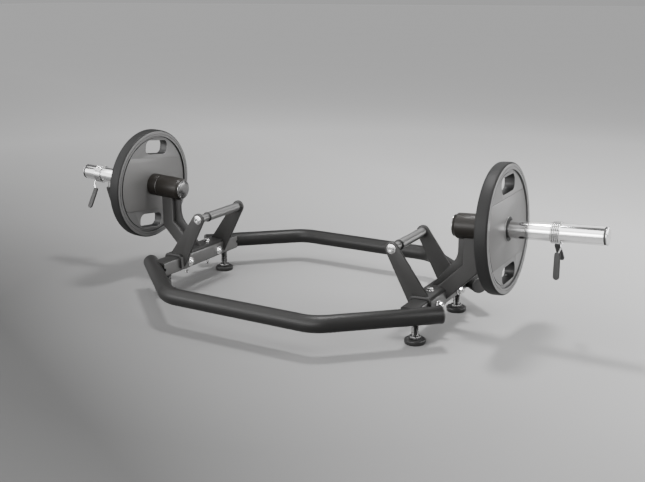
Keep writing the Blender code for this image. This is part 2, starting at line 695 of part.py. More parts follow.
def make_spindle(name, seat, material):
    start = spindle_start()
    shoulder = start + SPINDLE_NUT_THICKNESS + SEAT_GAP
    end = STOP_START + SPINDLE_REACH
    radius = SPINDLE_DIAMETER / 2
    thread = SPINDLE_THREAD_DIAMETER / 2
    profile = [(0.0, start), (thread, start), (thread, shoulder), (radius, shoulder), (radius, end - 0.002),
               (radius - 0.002, end), (0.0, end)]
    return turned(name, profile, ROUND_SIDES, material, seat)


def make_spindle_nut(name, seat, material):
    bore = SPINDLE_THREAD_DIAMETER / 2 + SEAT_GAP
    start = spindle_start()
    profile = [(bore, start), (SPINDLE_NUT_RADIUS, start), (SPINDLE_NUT_RADIUS, start + SPINDLE_NUT_THICKNESS),
               (bore, start + SPINDLE_NUT_THICKNESS)]
    return turned(name, profile, ROUND_SIDES, material, seat)


def make_sleeve(name, seat, material):
    outer = SLEEVE_DIAMETER / 2
    bore = SPINDLE_DIAMETER / 2 + SEAT_GAP
    profile = [(bore, STOP_START), (outer, STOP_START), (outer, SLEEVE_END - 0.001), (outer - 0.001, SLEEVE_END),
               (bore, SLEEVE_END)]
    return turned(name, profile, ROUND_SIDES, material, seat)


def make_stop_collar(name, seat, material):
    outer = BARREL_DIAMETER / 2
    bore = SLEEVE_DIAMETER / 2 + SEAT_GAP
    profile = [(bore, STOP_START), (outer - 0.001, STOP_START), (outer, STOP_START + 0.001), (outer, STOP_END - 0.002),
               (outer - 0.002, STOP_END), (bore, STOP_END)]
    return turned(name, profile, ROUND_SIDES, material, seat)


def make_sleeve_cap(name, seat, material):
    """A plug in the sleeve's end, with a recessed ring and a domed head."""
    plug = SPINDLE_DIAMETER / 2
    head = SLEEVE_DIAMETER / 2
    start = SLEEVE_END + SEAT_GAP
    ring = start + SLEEVE_RING
    edge = ring + SLEEVE_CAP_EDGE
    profile = [(0.0, SLEEVE_END - SLEEVE_PLUG_LENGTH), (plug, SLEEVE_END - SLEEVE_PLUG_LENGTH), (plug, start),
               (head - SLEEVE_RING_INSET, start), (head - SLEEVE_RING_INSET, ring), (head, ring), (head, edge)]
    profile += [(head * math.cos(angle), edge + SLEEVE_CAP_CROWN * math.sin(angle))
                for angle in (math.pi * step / 8 for step in range(1, 4))]
    profile.append((0.0, edge + SLEEVE_CAP_CROWN))
    return turned(name, profile, ROUND_SIDES, material, seat)


# Weight plate

def make_weight_plate(name, seat, material):
    """A rim round a thin web, with a thicker band across the middle and two grip slots."""
    rim = PLATE_RIM / 2
    web = PLATE_WEB / 2
    inner = PLATE_RADIUS - PLATE_RIM_WIDTH
    bore = HUB_RADIUS + SEAT_GAP
    corner = PLATE_RIM_ROUND
    upper = [(bore, web), (inner, web), (inner + 0.0015, rim)]
    upper += arc((PLATE_RADIUS - corner, rim - corner), corner, math.pi / 2, 0.0, 3)
    lower = [(radius, -height) for radius, height in reversed(upper)]
    plate = turned(name, upper + lower, PLATE_SIDES, material, seat)
    band_radius = inner - PLATE_GROOVE
    chord = math.asin(PLATE_BAND_HALF_HEIGHT / band_radius)
    outline = arc((0, 0), band_radius, -chord, chord, 12)
    outline += arc((0, 0), band_radius, math.pi - chord, math.pi + chord, 12)
    outline = [(second, first) for first, second in outline]
    band = prism("band", outline, -PLATE_BAND / 2, PLATE_BAND / 2, "Z", material, seat)
    combine(plate, [band], "UNION")
    cuts = [cylinder_between("bore", (0, 0, -0.05), (0, 0, 0.05), bore, ROUND_SIDES, material, seat)]
    for up in (-1, 1):
        slot = [(up * PLATE_SLOT_CENTRE + first, second) for first, second in
                rounded_box(PLATE_SLOT_HEIGHT / 2, PLATE_SLOT_WIDTH / 2, PLATE_SLOT_CORNER, 4)]
        cuts.append(prism("slot", slot, -0.05, 0.05, "Z", material, seat))
    return combine(plate, cuts, "DIFFERENCE")


def make_plate_hub(name, seat, material):
    outer = HUB_RADIUS
    bore = SLEEVE_DIAMETER / 2 + BORE_GAP
    face = PLATE_BAND / 2
    flange = face + SEAT_GAP
    profile = [(bore, -face), (outer, -face), (outer, flange), (HUB_FLANGE_RADIUS, flange),
               (HUB_FLANGE_RADIUS, flange + HUB_FLANGE), (bore, flange + HUB_FLANGE)]
    return turned(name, profile, ROUND_SIDES, material, seat)


# Spring collar

def coil_radius():
    """The wire's centre line, so that its straight chords clear the sleeve."""
    inside = SLEEVE_DIAMETER / 2 + BORE_GAP + WIRE_DIAMETER / 2
    return inside / math.cos(math.pi / COIL_POINTS)


def coil_point(side, angle, rise):
    """A point on the wire's centre line. Angles run from straight down to the rear."""
    radius = coil_radius()
    return Vector((radius * math.cos(angle), side * radius * math.sin(angle), rise))


def coil_points(side):
    """From the lever at the coil's outer end round to the one at its inner end. The turns
    overlap by the levers' spread, so squeezing the levers together opens the coil."""
    total = COIL_TURNS * math.tau + LEVER_SPREAD
    start = -LEVER_SPREAD / 2
    lead = WIRE_DIAMETER / coil_radius()
    half = COIL_PITCH * total / math.tau / 2
    steps = round((total - 2 * lead) / math.tau * COIL_POINTS)
    points = []
    for step in range(steps + 1):
        angle = lead + (total - 2 * lead) * step / steps
        points.append(coil_point(side, start + angle, half - COIL_PITCH * angle / math.tau))
    first = points[0] - coil_tangent(side, start + lead) * WIRE_DIAMETER
    last = points[-1] + coil_tangent(side, start + total - lead) * WIRE_DIAMETER
    return [first] + points + [last]


def coil_tangent(side, angle):
    return Vector((-math.sin(angle), side * math.cos(angle), 0.0))


def least_coil_gap(points):
    """Least distance between turns, less the wire's diameter."""
    least = 1.0
    for number, point in enumerate(points):
        for other in points[number + COIL_POINTS // 2:]:
            least = min(least, (point - other).length)
    return least - WIRE_DIAMETER


def make_collar_spring(name, side, seat, material):
    points = coil_points(side)
    print(f"{name}: least gap between turns {least_coil_gap(points) * 1000:.2f} mm")
    return wire(name, points, WIRE_DIAMETER, material, seat)


def make_lever(name, side, end, seat, material):
    """A leg that goes on from the coil's end, turns outwards and ends in a flat grip.
    The end is -1 for the coil's outer end and 1 for its inner one."""
    points = coil_points(side)
    if end < 0:
        points.reverse()
    along = (points[-1] - points[-2]).normalized()
    start = points[-1] + along * SEAT_GAP
    angle = end * LEVER_SPREAD / 2
    out = Vector((math.cos(angle), side * math.sin(angle), 0.0))
    sideways = (along - out * along.dot(out)).normalized()
    path = [start]
    for step in range(6):
        swing = math.pi / 2 * step / 5
        path.append(start + along * 0.0012 + sideways * LEVER_BEND_RADIUS * math.sin(swing)
                    + out * LEVER_BEND_RADIUS * (1 - math.cos(swing)))
    leave = path[-1].dot(out)
    base = path[-1] - out * leave
    goal = Vector((0.0, 0.0, LEVER_GRIP_SHIFT[end]))
    for step in range(1, 7):
        share = step / 6
        smooth = share * share * (3 - 2 * share)
        reach = leave + (LEVER_GRIP_START + LEVER_WIRE_HOLD - leave) * share
        path.append(base.lerp(goal, smooth) + out * reach)
    leg = wire(name, path, WIRE_DIAMETER, material, seat)
    half = LEVER_GRIP_WIDTH / 2
    length = LEVER_GRIP_END - LEVER_GRIP_START
    outline = [(0.003, -half * 0.86), (length - half, -half)]
    outline += arc((length - half, 0.0), half, -math.pi / 2, math.pi / 2, 8)[1:]
    outline += [(0.003, half * 0.86), (0.0, half * 0.6), (0.0, -half * 0.6)]
    thickness = LEVER_GRIP_THICKNESS / 2
    grip = prism("grip", outline, -thickness, thickness, "Z", material, seat)
    across = Vector((0, 0, 1))
    turn = Matrix((out, across, out.cross(across))).transposed().to_4x4()
    grip.matrix_local = Matrix.Translation(out * LEVER_GRIP_START + goal) @ turn
    return combine(leg, [grip], "UNION")


def collar_matrix(side):
    turn = Matrix.Rotation(side * COLLAR_TURN[side], 4, "Z")
    return axis_matrix(side) @ Matrix.Translation((0, 0, COLLAR_PLACE[side])) @ turn


# Levelling feet

def make_foot_pad(name, seat, material):
    socket = FOOT_STUD_DIAMETER / 2 + BORE_GAP
    profile = [(0.0, 0.0), (FOOT_PAD_RADIUS - FOOT_PAD_CHAMFER, 0.0), (FOOT_PAD_RADIUS, FOOT_PAD_CHAMFER),
               (FOOT_PAD_RADIUS, FOOT_PAD_EDGE),
               (FOOT_PAD_RADIUS - FOOT_PAD_SHOULDER, (FOOT_PAD_EDGE + FOOT_PAD_HEIGHT) / 2),
               (FOOT_PAD_TOP_RADIUS, FOOT_PAD_HEIGHT), (socket, FOOT_PAD_HEIGHT), (socket, FOOT_SOCKET_FLOOR),
               (0.0, FOOT_SOCKET_FLOOR)]
    return turned(name, profile, FOOT_SIDES, material, seat)


def make_foot_stud(name, seat, material):
    radius = FOOT_STUD_DIAMETER / 2
    start = FOOT_SOCKET_FLOOR + SEAT_GAP
    top = BEAM_TOP - BEAM_WALL - 0.001
    hexagon_start = FOOT_PAD_HEIGHT + SEAT_GAP
    profile = [(0.0, start), (radius, start), (radius, top - 0.0015), (radius - 0.0015, top), (0.0, top)]
    stud = turned(name, profile, FOOT_SIDES, material, seat)
    nut = hexagon("hex", (0, 0, hexagon_start), (0, 0, hexagon_start + FOOT_HEX_HEIGHT),
                  FOOT_HEX_RADIUS, material, seat)
    return combine(stud, [nut], "UNION")


# Assembly

def build():
    clear_scene()
    black = (0.035, 0.036, 0.037)
    coat = make_material("powder_coat", black, 0.45, 0.3)
    handle_steel = make_material("grip_steel", (0.42, 0.42, 0.41), 0.35, 1.0)
    chrome = make_material("chrome", (0.82, 0.82, 0.82), 0.12, 1.0)
    zinc = make_material("zinc_bolts", (0.72, 0.72, 0.71), 0.28, 1.0)
    bronze = make_material("bearing_bronze", (0.55, 0.40, 0.20), 0.4, 1.0)
    steel = make_material("spindle_steel", (0.50, 0.50, 0.50), 0.35, 1.0)
    dark_cap = make_material("dark_polished_cap", (0.18, 0.18, 0.19), 0.2, 1.0)
    plate_coat = make_material("plate_coat", (0.20, 0.20, 0.20), 0.4, 0.2)
    vinyl = make_material("lever_grip", (0.09, 0.09, 0.085), 0.55, 0.0)
    rubber = make_material("foot_rubber", (0.03, 0.03, 0.03), 0.5, 0.0)
    plug = make_material("pipe_plug", (0.028, 0.028, 0.029), 0.5, 0.0)

    ends = {-1: "front", 1: "rear"}
    sides = {-1: "left", 1: "right"}
    for front, end in ends.items():
        make_rail(f"{end}_rail", front, coat)
        for side, label in sides.items():
            make_rail_cap(f"rail_cap_{end}_{label}", side, front, plug)

    for side, label in sides.items():
        seat = make_empty(f"sleeve_axis_{label}", axis_matrix(side))
        make_crossmember(f"crossmember_{label}", side, coat)
        make_saddle(f"saddle_{label}", side, coat)
        make_sleeve_arm(f"sleeve_arm_{label}", side, seat, coat)
        make_gusset(f"arm_gusset_{label}", side, seat, coat)
        handle = handle_seat(f"handle_axis_{label}", side)
        make_handle_grip(f"handle_grip_{label}", handle, handle_steel)
        make_handle_bolt(f"handle_bolt_{label}", handle, zinc)
        for front, end in ends.items():
            make_handle_arm(f"handle_arm_{end}_{label}", side, front, coat)
            make_saddle_bolt(f"saddle_bolt_{end}_{label}", side, front, zinc)
            foot = make_empty(f"foot_axis_{end}_{label}",
                              Matrix.Translation((side * BEAM_X, front * FOOT_Y, 0.0)))
            make_foot_pad(f"foot_pad_{end}_{label}", foot, rubber)
            make_foot_stud(f"foot_stud_{end}_{label}", foot, steel)
        make_barrel(f"barrel_{label}", seat, coat)
        make_barrel_cap(f"barrel_cap_{label}", seat, dark_cap)
        make_bush(f"bearing_bush_{label}", seat, bronze)
        make_spindle(f"spindle_{label}", seat, steel)
        make_spindle_nut(f"spindle_nut_{label}", seat, steel)
        make_sleeve(f"sleeve_{label}", seat, chrome)
        make_stop_collar(f"stop_collar_{label}", seat, coat)
        make_sleeve_cap(f"sleeve_cap_{label}", seat, chrome)
        turn = Matrix.Rotation(PLATE_TURN[side] * side, 4, "Z")
        plate_seat = make_empty(f"plate_axis_{label}",
                                axis_matrix(side) @ Matrix.Translation((0, 0, PLATE_MIDDLE)) @ turn)
        make_weight_plate(f"weight_plate_{label}", plate_seat, plate_coat)
        make_plate_hub(f"plate_hub_{label}", plate_seat, steel)
        collar = make_empty(f"collar_axis_{label}", collar_matrix(side))
        make_collar_spring(f"collar_spring_{label}", side, collar, chrome)
        make_lever(f"collar_lever_front_{label}", side, -1, collar, vinyl)
        make_lever(f"collar_lever_rear_{label}", side, 1, collar, vinyl)


build()
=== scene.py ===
# Looks of the hexagonal deadlift bar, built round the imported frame.
# Metres, +Z up, +X to the lifter's right, +Y to the rear.

import json
import math

import bmesh
import bpy
from mathutils import Matrix, Vector


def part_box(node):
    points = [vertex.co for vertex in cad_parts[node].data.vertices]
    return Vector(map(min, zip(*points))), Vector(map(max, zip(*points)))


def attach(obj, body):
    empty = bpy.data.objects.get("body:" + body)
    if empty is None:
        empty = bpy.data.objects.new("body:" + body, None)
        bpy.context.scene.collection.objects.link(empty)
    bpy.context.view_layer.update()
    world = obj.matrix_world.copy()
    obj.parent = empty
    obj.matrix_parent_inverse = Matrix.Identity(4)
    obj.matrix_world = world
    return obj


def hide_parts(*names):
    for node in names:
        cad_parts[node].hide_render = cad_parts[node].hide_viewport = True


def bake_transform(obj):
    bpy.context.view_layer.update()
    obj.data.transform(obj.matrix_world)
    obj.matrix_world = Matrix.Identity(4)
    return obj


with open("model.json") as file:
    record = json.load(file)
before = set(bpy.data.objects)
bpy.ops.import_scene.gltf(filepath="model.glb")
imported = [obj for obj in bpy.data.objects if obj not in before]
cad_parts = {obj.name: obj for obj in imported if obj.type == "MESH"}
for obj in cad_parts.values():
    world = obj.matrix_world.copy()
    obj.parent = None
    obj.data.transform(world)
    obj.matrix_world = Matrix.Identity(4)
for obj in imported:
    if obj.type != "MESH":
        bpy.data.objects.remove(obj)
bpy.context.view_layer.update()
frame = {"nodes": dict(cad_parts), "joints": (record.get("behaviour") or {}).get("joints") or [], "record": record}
record = frame["record"]
bodyOf = {node: body for body, nodes in record["behaviour"]["bodies"].items() for node in nodes}
jointOf = {joint["name"]: joint for joint in frame["joints"]}
sides = {"left": -1, "right": 1}
ends = {"front": -1, "rear": 1}
seatGap = 0.0003    # between welded or bolted pieces, as in the frame
print("frame loaded,", len(frame["nodes"]), "nodes")


# Materials

class Link:    # a socket that reads like a number in a sum
    def __init__(self, finish, socket):
        self.finish = finish
        self.socket = socket

    def __add__(self, other):
        return self.finish.maths("ADD", self, other)

    def __sub__(self, other):
        return self.finish.maths("SUBTRACT", self, other)

    def __rsub__(self, other):
        return self.finish.maths("SUBTRACT", other, self)

    def __mul__(self, other):
        return self.finish.maths("MULTIPLY", self, other)

    __radd__ = __add__
    __rmul__ = __mul__


class Finish:    # one Principled material and the nodes behind it
    def __init__(self, name, constants):
        self.material = bpy.data.materials.new(name)
        self.material.use_nodes = True
        self.nodes = self.material.node_tree.nodes
        self.links = self.material.node_tree.links
        self.shader = self.nodes["Principled BSDF"]
        for socket, value in constants.items():
            self.shader.inputs[socket].default_value = value
        self.place = self.node("ShaderNodeTexCoord", output="Object")

    def node(self, kind, settings=None, sockets=None, output=0):
        made = self.nodes.new(kind)
        for key, value in (settings or {}).items():
            if key == "stops":
                for stop, (position, shade) in zip(made.color_ramp.elements, value):
                    stop.position = position
                    stop.color = (shade, shade, shade, 1.0)
            else:
                setattr(made, key, value)
        for key, value in (sockets or {}).items():
            self.plug(made.inputs[key], value)
        return Link(self, made.outputs[output])

    def plug(self, socket, value):
        if isinstance(value, Link):
            self.links.new(value.socket, socket)
        else:
            socket.default_value = value

    def maths(self, operation, first, second):
        return self.node("ShaderNodeMath", {"operation": operation}, {0: first, 1: second})

    def noise(self, scale, detail=2.0, roughness=0.5, place=None):
        sockets = {"Vector": place or self.place, "Scale": scale, "Detail": detail, "Roughness": roughness}
        return self.node("ShaderNodeTexNoise", None, sockets, "Fac")

    def stretched(self, scale, turn):    # for marks that run one way
        sockets = {"Vector": self.place, "Rotation": turn, "Scale": scale}
        return self.node("ShaderNodeMapping", None, sockets)

    def ramp(self, value, low, high, start=0.0, end=1.0):
        stops = [(low, start), (high, end)]
        return self.node("ShaderNodeValToRGB", {"stops": stops}, {"Fac": value}, "Color")

    def mix(self, share, first, second):
        return self.node("ShaderNodeMix", {"data_type": "RGBA"}, {0: share, 6: first, 7: second}, 2)

    def vector(self, operation, sockets, output):
        return self.node("ShaderNodeVectorMath", {"operation": operation}, sockets, output)

    def colour(self, value):
        self.plug(self.shader.inputs["Base Color"], value)

    def rough(self, value):
        self.plug(self.shader.inputs["Roughness"], value)

    def bump(self, height, distance, strength=1.0):
        sockets = {"Strength": strength, "Distance": distance, "Height": height}
        self.plug(self.shader.inputs["Normal"], self.node("ShaderNodeBump", None, sockets))


def grey(value, warm=0.0):
    return (value * (1 + warm), value, value * (1 - warm), 1.0)


def powderCoat(name, shade, warm, roughness, shine=0.5):
    finish = Finish(name, {"Metallic": 0.0, "Specular IOR Level": shine})
    clouds = finish.noise(7.0, 3.0)
    speckle = finish.noise(420.0, 2.0)
    tone = finish.mix(clouds, grey(shade * 0.86, warm), grey(shade * 1.16, warm))
    finish.colour(finish.mix(speckle * 0.25, tone, grey(shade * 1.5, warm)))
    finish.rough(roughness - 0.05 + clouds * 0.07 + speckle * 0.04)
    finish.bump(finish.noise(900.0, 2.0) + finish.noise(260.0, 1.0) * 0.6, 0.00016, 0.35)
    return finish.material


def brushedSteel(name, shade, roughness, turn, grain=1.0):
    finish = Finish(name, {"Metallic": 1.0})
    lines = finish.noise(1.0, 3.0, 0.6, finish.stretched((30.0, 30.0, 2600.0), turn))
    stains = finish.noise(18.0, 3.0)
    finish.colour(finish.mix(stains, grey(shade * 0.9, 0.012), grey(shade * 1.06)))
    finish.rough(roughness + lines * 0.10 * grain + stains * 0.05)
    finish.bump(lines, 0.00004, 0.3 * grain)
    return finish.material


def chromePlate(name, shade, roughness, turn):
    finish = Finish(name, {"Metallic": 1.0})
    marks = finish.noise(1.0, 2.0, 0.5, finish.stretched((6.0, 6.0, 900.0), turn))
    haze = finish.noise(25.0, 3.0)
    finish.colour(finish.mix(haze, grey(shade * 0.95), grey(shade, 0.004)))
    finish.rough(roughness + haze * 0.05 + finish.ramp(marks, 0.62, 0.8, 0.0, 0.10))
    finish.bump(marks, 0.00002, 0.15)
    return finish.material


def enamel(name, shade, warm, roughness, shine=0.5):
    finish = Finish(name, {"Metallic": 0.0, "Specular IOR Level": shine})
    clouds = finish.noise(9.0, 3.0)
    grain = finish.noise(1500.0, 1.0)
    tone = finish.mix(clouds, grey(shade * 0.94, warm), grey(shade * 1.05, warm))
    finish.colour(finish.mix(grain * 0.3, tone, grey(shade * 0.85, warm)))
    finish.rough(roughness - 0.04 + clouds * 0.06 + grain * 0.04)
    finish.bump(grain * 0.5 + finish.noise(120.0, 2.0), 0.00006, 0.25)
    return finish.material


def moulded(name, shade, roughness, grainScale, depth, shine=0.45):
    finish = Finish(name, {"Metallic": 0.0, "Specular IOR Level": shine})
    grain = finish.noise(grainScale, 3.0, 0.6)
    dust = finish.noise(30.0, 4.0)
    finish.colour(finish.mix(dust, grey(shade * 0.8), grey(shade * 1.25, 0.02)))
    finish.rough(roughness - 0.05 + grain * 0.1)
    finish.bump(grain, depth, 0.6)
    return finish.material


axisTurn = (0.0, math.radians(90.0), 0.0)    # turning marks round a piece that runs along X,
handleTurn = (math.radians(90.0), 0.0, 0.0)    # along Y
upright = (0.0, 0.0, 0.0)    # or along Z

# name, shade, then warmth, roughness and shine as the finish takes them
coat = powderCoat("satinBlackCoat", 0.018, 0.02, 0.44, 0.22)
railCoat = powderCoat("railCoat", 0.009, 0.02, 0.42, 0.16)
# painted light and shade: a lighter, glossier coat for the beams' and saddles' upright sides, and a darker one for
# their tops, bottoms and ends
paintedLitSideCoat = powderCoat("paintedLitSideCoat", 0.045, 0.02, 0.30, 1.0)
paintedShadeCoat = powderCoat("paintedShadeCoat", 0.011, 0.02, 0.46, 0.26)
barrelCoat = powderCoat("barrelCoat", 0.007, 0.14, 0.37, 0.16)
chrome = chromePlate("chromePlate", 0.96, 0.09, axisTurn)
springSteel = chromePlate("springSteel", 0.60, 0.20, axisTurn)
capChrome = chromePlate("capChrome", 0.66, 0.22, axisTurn)
# dark end rings on the grips; at each sleeve's cap the dark ring fills the gap there as painted shade
darkRingAndGapShade = moulded("darkRingAndGapShade", 0.010, 0.55, 600.0, 0.00005)
zinc = chromePlate("brightZinc", 0.80, 0.14, upright)
gripSteel = brushedSteel("gripSteel", 0.19, 0.30, handleTurn)
spindleSteel = brushedSteel("spindleSteel", 0.50, 0.30, axisTurn)
studSteel = brushedSteel("blackenedSteel", 0.17, 0.22, upright, 0.5)
bronze = brushedSteel("bearingBronze", 0.45, 0.34, axisTurn)
capSteel = chromePlate("darkPolishedCap", 0.18, 0.22, axisTurn)
plateFace = enamel("plateFace", 0.066, 0.008, 0.32, 0.9)
plateBand = enamel("plateBand", 0.060, 0.022, 0.38, 0.8)
plateEdge = enamel("plateEdge", 0.012, 0.0, 0.50, 0.10)
# painted shade: the plates' grooves and rim lines, and the hubs' lips and dots, are painted near black
paintedRecessShade = enamel("paintedRecessShade", 0.008, 0.0, 0.50, 0.2)
# painted light: a lighter paint for the grooves on the plates' outer faces
paintedLitGroove = enamel("paintedLitGroove", 0.050, 0.0, 0.40)
# painted shade: the slots' walls are painted near black
paintedSlotShade = enamel("slotWallPaintedShade", 0.010, 0.0, 0.42, 0.3)
hubSteel = brushedSteel("hubSteel", 0.62, 0.30, axisTurn)
leverGrip = moulded("leverGrip", 0.018, 0.5, 380.0, 0.00025, 0.25)
footRubber = moulded("footRubber", 0.012, 0.34, 500.0, 0.00005, 0.30)
plug = moulded("pipePlug", 0.028, 0.42, 500.0, 0.0001)
print("materials made,", len(bpy.data.materials))


# Shaping

def arc(centre, radius, start, end, steps):    # angles in degrees
    points = []
    for step in range(steps + 1):
        angle = math.radians(start + (end - start) * step / steps)
        points.append((centre[0] + radius * math.cos(angle), centre[1] + radius * math.sin(angle)))
    return points


def rounded(corners, steps=6):    # corners as (x, y, radius)
    outline = []
    for number, (x, y, radius) in enumerate(corners):
        here = Vector((x, y))
        if not radius:
            outline.append((x, y))
            continue
        before = (Vector(corners[number - 1][:2]) - here).normalized()
        after = (Vector(corners[(number + 1) % len(corners)][:2]) - here).normalized()
        half = before.angle(after) / 2
        centre = here + (before + after).normalized() * radius / math.sin(half)
        first = here + before * radius / math.tan(half) - centre
        last = here + after * radius / math.tan(half) - centre
        start = math.degrees(math.atan2(first.y, first.x))
        swing = (math.degrees(math.atan2(last.y, last.x)) - start + 180) % 360 - 180
        outline += arc(centre, radius, start, start + swing, steps)
    return outline


def box(halfWidth, halfHeight, radius):
    return [(halfWidth, halfHeight, radius), (-halfWidth, halfHeight, radius),
            (-halfWidth, -halfHeight, radius), (halfWidth, -halfHeight, radius)]


def soften(bm, width, cuts=2, least=30.0, chosen=None):
    bmesh.ops.recalc_face_normals(bm, faces=bm.faces)
    sharp = [edge for edge in bm.edges if len(edge.link_faces) == 2
             and edge.calc_face_angle(0.0) > math.radians(least) and (chosen is None or chosen(edge))]
    bmesh.ops.bevel(bm, geom=sharp, offset=width, offset_type="OFFSET", affect="EDGES", segments=cuts,
                    profile=0.5, material=-1, clamp_overlap=True)
    return bm


def turned(profile, segments, round=0.0, cuts=2):    # (radius, height) about Z
    bm = bmesh.new()
    points = [bm.verts.new((radius, 0.0, height)) for radius, height in profile]
    edges = [bm.edges.new(pair) for pair in zip(points, points[1:])]
    if profile[0][0] > 0:
        edges.append(bm.edges.new((points[-1], points[0])))
    bmesh.ops.spin(bm, geom=points + edges, cent=(0, 0, 0), axis=(0, 0, 1), angle=math.tau,
                   steps=segments, use_merge=True)
    bmesh.ops.remove_doubles(bm, verts=bm.verts, dist=0.000001)
    bmesh.ops.recalc_face_normals(bm, faces=bm.faces)
    return soften(bm, round, cuts) if round else bm


def hoop(inner, outer, low, high, segments, round=0.0, cuts=2):    # a plain ring, or a rod if inner is 0
    return turned([(inner, low), (outer, low), (outer, high), (inner, high)], segments, round, cuts)


def dome(radius, base, rise):    # a cap's profile from above its edge to its crown
    angles = [math.radians(step * 7.5) for step in range(1, 12)]
    points = [(radius * math.cos(angle), base + rise * math.sin(angle)) for angle in angles]
    return points + [(0.0, base + rise)]


def region(face):
    return [face, *face.edges, *face.verts]


def grow(bm, geom, shift):    # pulls a face out, and returns it and its corners
    grown = bmesh.ops.extrude_face_region(bm, geom=geom)["geom"]
    verts = [part for part in grown if isinstance(part, bmesh.types.BMVert)]
    bmesh.ops.translate(bm, verts=verts, vec=shift)
    return next(part for part in grown if isinstance(part, bmesh.types.BMFace)), verts


def slab(outline, low, high, round=0.0, cuts=2, least=30.0):    # an outline in X and Y, thick along Z
    bm = bmesh.new()
    face = bm.faces.new([bm.verts.new((x, y, low)) for x, y in outline])
    grow(bm, [face], (0, 0, high - low))
    bmesh.ops.recalc_face_normals(bm, faces=bm.faces)
    return soften(bm, round, cuts, least) if round else bm


def hexagon(radius, low, high, round=0.0004, cuts=2):
    return slab(arc((0, 0), radius, 0, 300, 5), low, high, round, cuts)


def join(bm, *others):
    for other in others:
        mesh = bpy.data.meshes.new("joined")
        other.to_mesh(mesh)
        other.free()
        bm.from_mesh(mesh)
        bpy.data.meshes.remove(mesh)
    return bm


def moved(bm, matrix):
    bm.transform(matrix)
    if matrix.determinant() < 0:
        bmesh.ops.reverse_faces(bm, faces=bm.faces)
    return bm


def paint(bm, number, chosen=None):
    for face in bm.faces:
        if chosen is None or chosen(face):
            face.material_index = number
    return bm


def inOrder(bm):    # operators list faces in an order that changes from run to run, and this settles it
    verts = sorted(bm.verts, key=lambda vert: [round(value, 6) for value in vert.co])
    rank = {vert: number for number, vert in enumerate(verts)}
    faces = []
    for face in bm.faces:
        corners = [rank[vert] for vert in face.verts]
        first = corners.index(min(corners))
        faces.append((corners[first:] + corners[:first], face.material_index))
    made = bmesh.new()
    points = [made.verts.new(vert.co) for vert in verts]
    for corners, number in sorted(faces):
        made.faces.new([points[corner] for corner in corners]).material_index = number
    made.normal_update()
    bm.free()
    return made


def piece(name, bm, finishes, node, extra=False, seat=None, bend=None):
    # node is the CAD piece that this one stands for, or sits on if it is an extra;
    # bend names the body at its far end and where it starts and ends, but only its presence is used: the piece's
    # place is baked in and it joins no body
    if seat is not None:
        moved(bm, seat)
    bm = inOrder(bm)
    mesh = bpy.data.meshes.new(name)
    bm.to_mesh(mesh)
    bm.free()
    for finish in finishes:
        mesh.materials.append(finish)
    mesh.shade_smooth()
    mesh.set_sharp_from_angle(angle=math.radians(30))
    made = bpy.data.objects.new(name, mesh)
    bpy.context.scene.collection.objects.link(made)
    if not extra:
        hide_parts(node)
    if bend:
        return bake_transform(made)
    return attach(made, bodyOf[node])


def shapeOf(thing):    # an object's final mesh
    bpy.context.view_layer.update()
    mesh = bpy.data.meshes.new_from_object(thing.evaluated_get(bpy.context.evaluated_depsgraph_get()))
    made = bmesh.new()
    made.from_mesh(mesh)
    bpy.data.meshes.remove(mesh)
    return made


def cut(bm, cutters):    # takes closed shapes out of another
    parts = []
    for number, shape in enumerate([bm, *cutters]):
        mesh = bpy.data.meshes.new("cut")
        shape.to_mesh(mesh)
        shape.free()
        parts.append(bpy.data.objects.new("cut", mesh))
        bpy.context.scene.collection.objects.link(parts[-1])
        if number:
            knife = parts[0].modifiers.new("cut", "BOOLEAN")
            knife.operation = "DIFFERENCE"
            knife.solver = "EXACT"
            knife.object = parts[-1]
    made = shapeOf(parts[0])
    for part in parts:
        bpy.data.objects.remove(part, do_unlink=True)
    bmesh.ops.remove_doubles(made, verts=made.verts, dist=0.000002)
    made = inOrder(made)
    bmesh.ops.dissolve_limit(made, angle_limit=math.radians(0.5), verts=made.verts, edges=made.edges)
    return made


def title(words):
    return words[0].upper() + words[1:]


def along(axis, point, up=(0, 0, 1)):    # a place whose local Z runs along an axis
    axis = Vector(axis).normalized()
    first = (Vector(up) - axis * axis.dot(Vector(up))).normalized()
    turn = Matrix((first, axis.cross(first), axis)).transposed().to_4x4()
    return Matrix.Translation(point) @ turn


def sleeveSeat(side):    # local Z outwards along the sleeve, local X down, local Y to side x rear
    joint = jointOf["sleeve_spin_" + side]
    return along(joint["axis"], joint["pos_m"], (0, 0, -1))


def span(node, seat):    # where a CAD piece starts and ends along a seat's axis, and its radius
    local = [seat.inverted() @ vert.co for vert in frame["nodes"][node].data.vertices]
    heights = [point.z for point in local]
    return min(heights), max(heights), max(math.hypot(point.x, point.y) for point in local)


# Rails and their plugs

rails = {"halfRun": 0.242, "endX": 0.502, "endY": 0.1465, "bend": 0.095, "facets": 48, "bendSteps": 18,
         "plugLip": 0.003, "plugCrown": 0.0035, "plugRound": 0.0012, "plugDepth": 0.010, "plugWall": 0.004}
railLow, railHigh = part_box("front_rail")
rails["pipe"] = (railHigh.z - railLow.z) / 2
rails["height"] = (railHigh.z + railLow.z) / 2
rails["offset"] = -railLow.y - rails["pipe"]
legRun = Vector((rails["endX"] - rails["halfRun"], rails["offset"] - rails["endY"], 0.0))


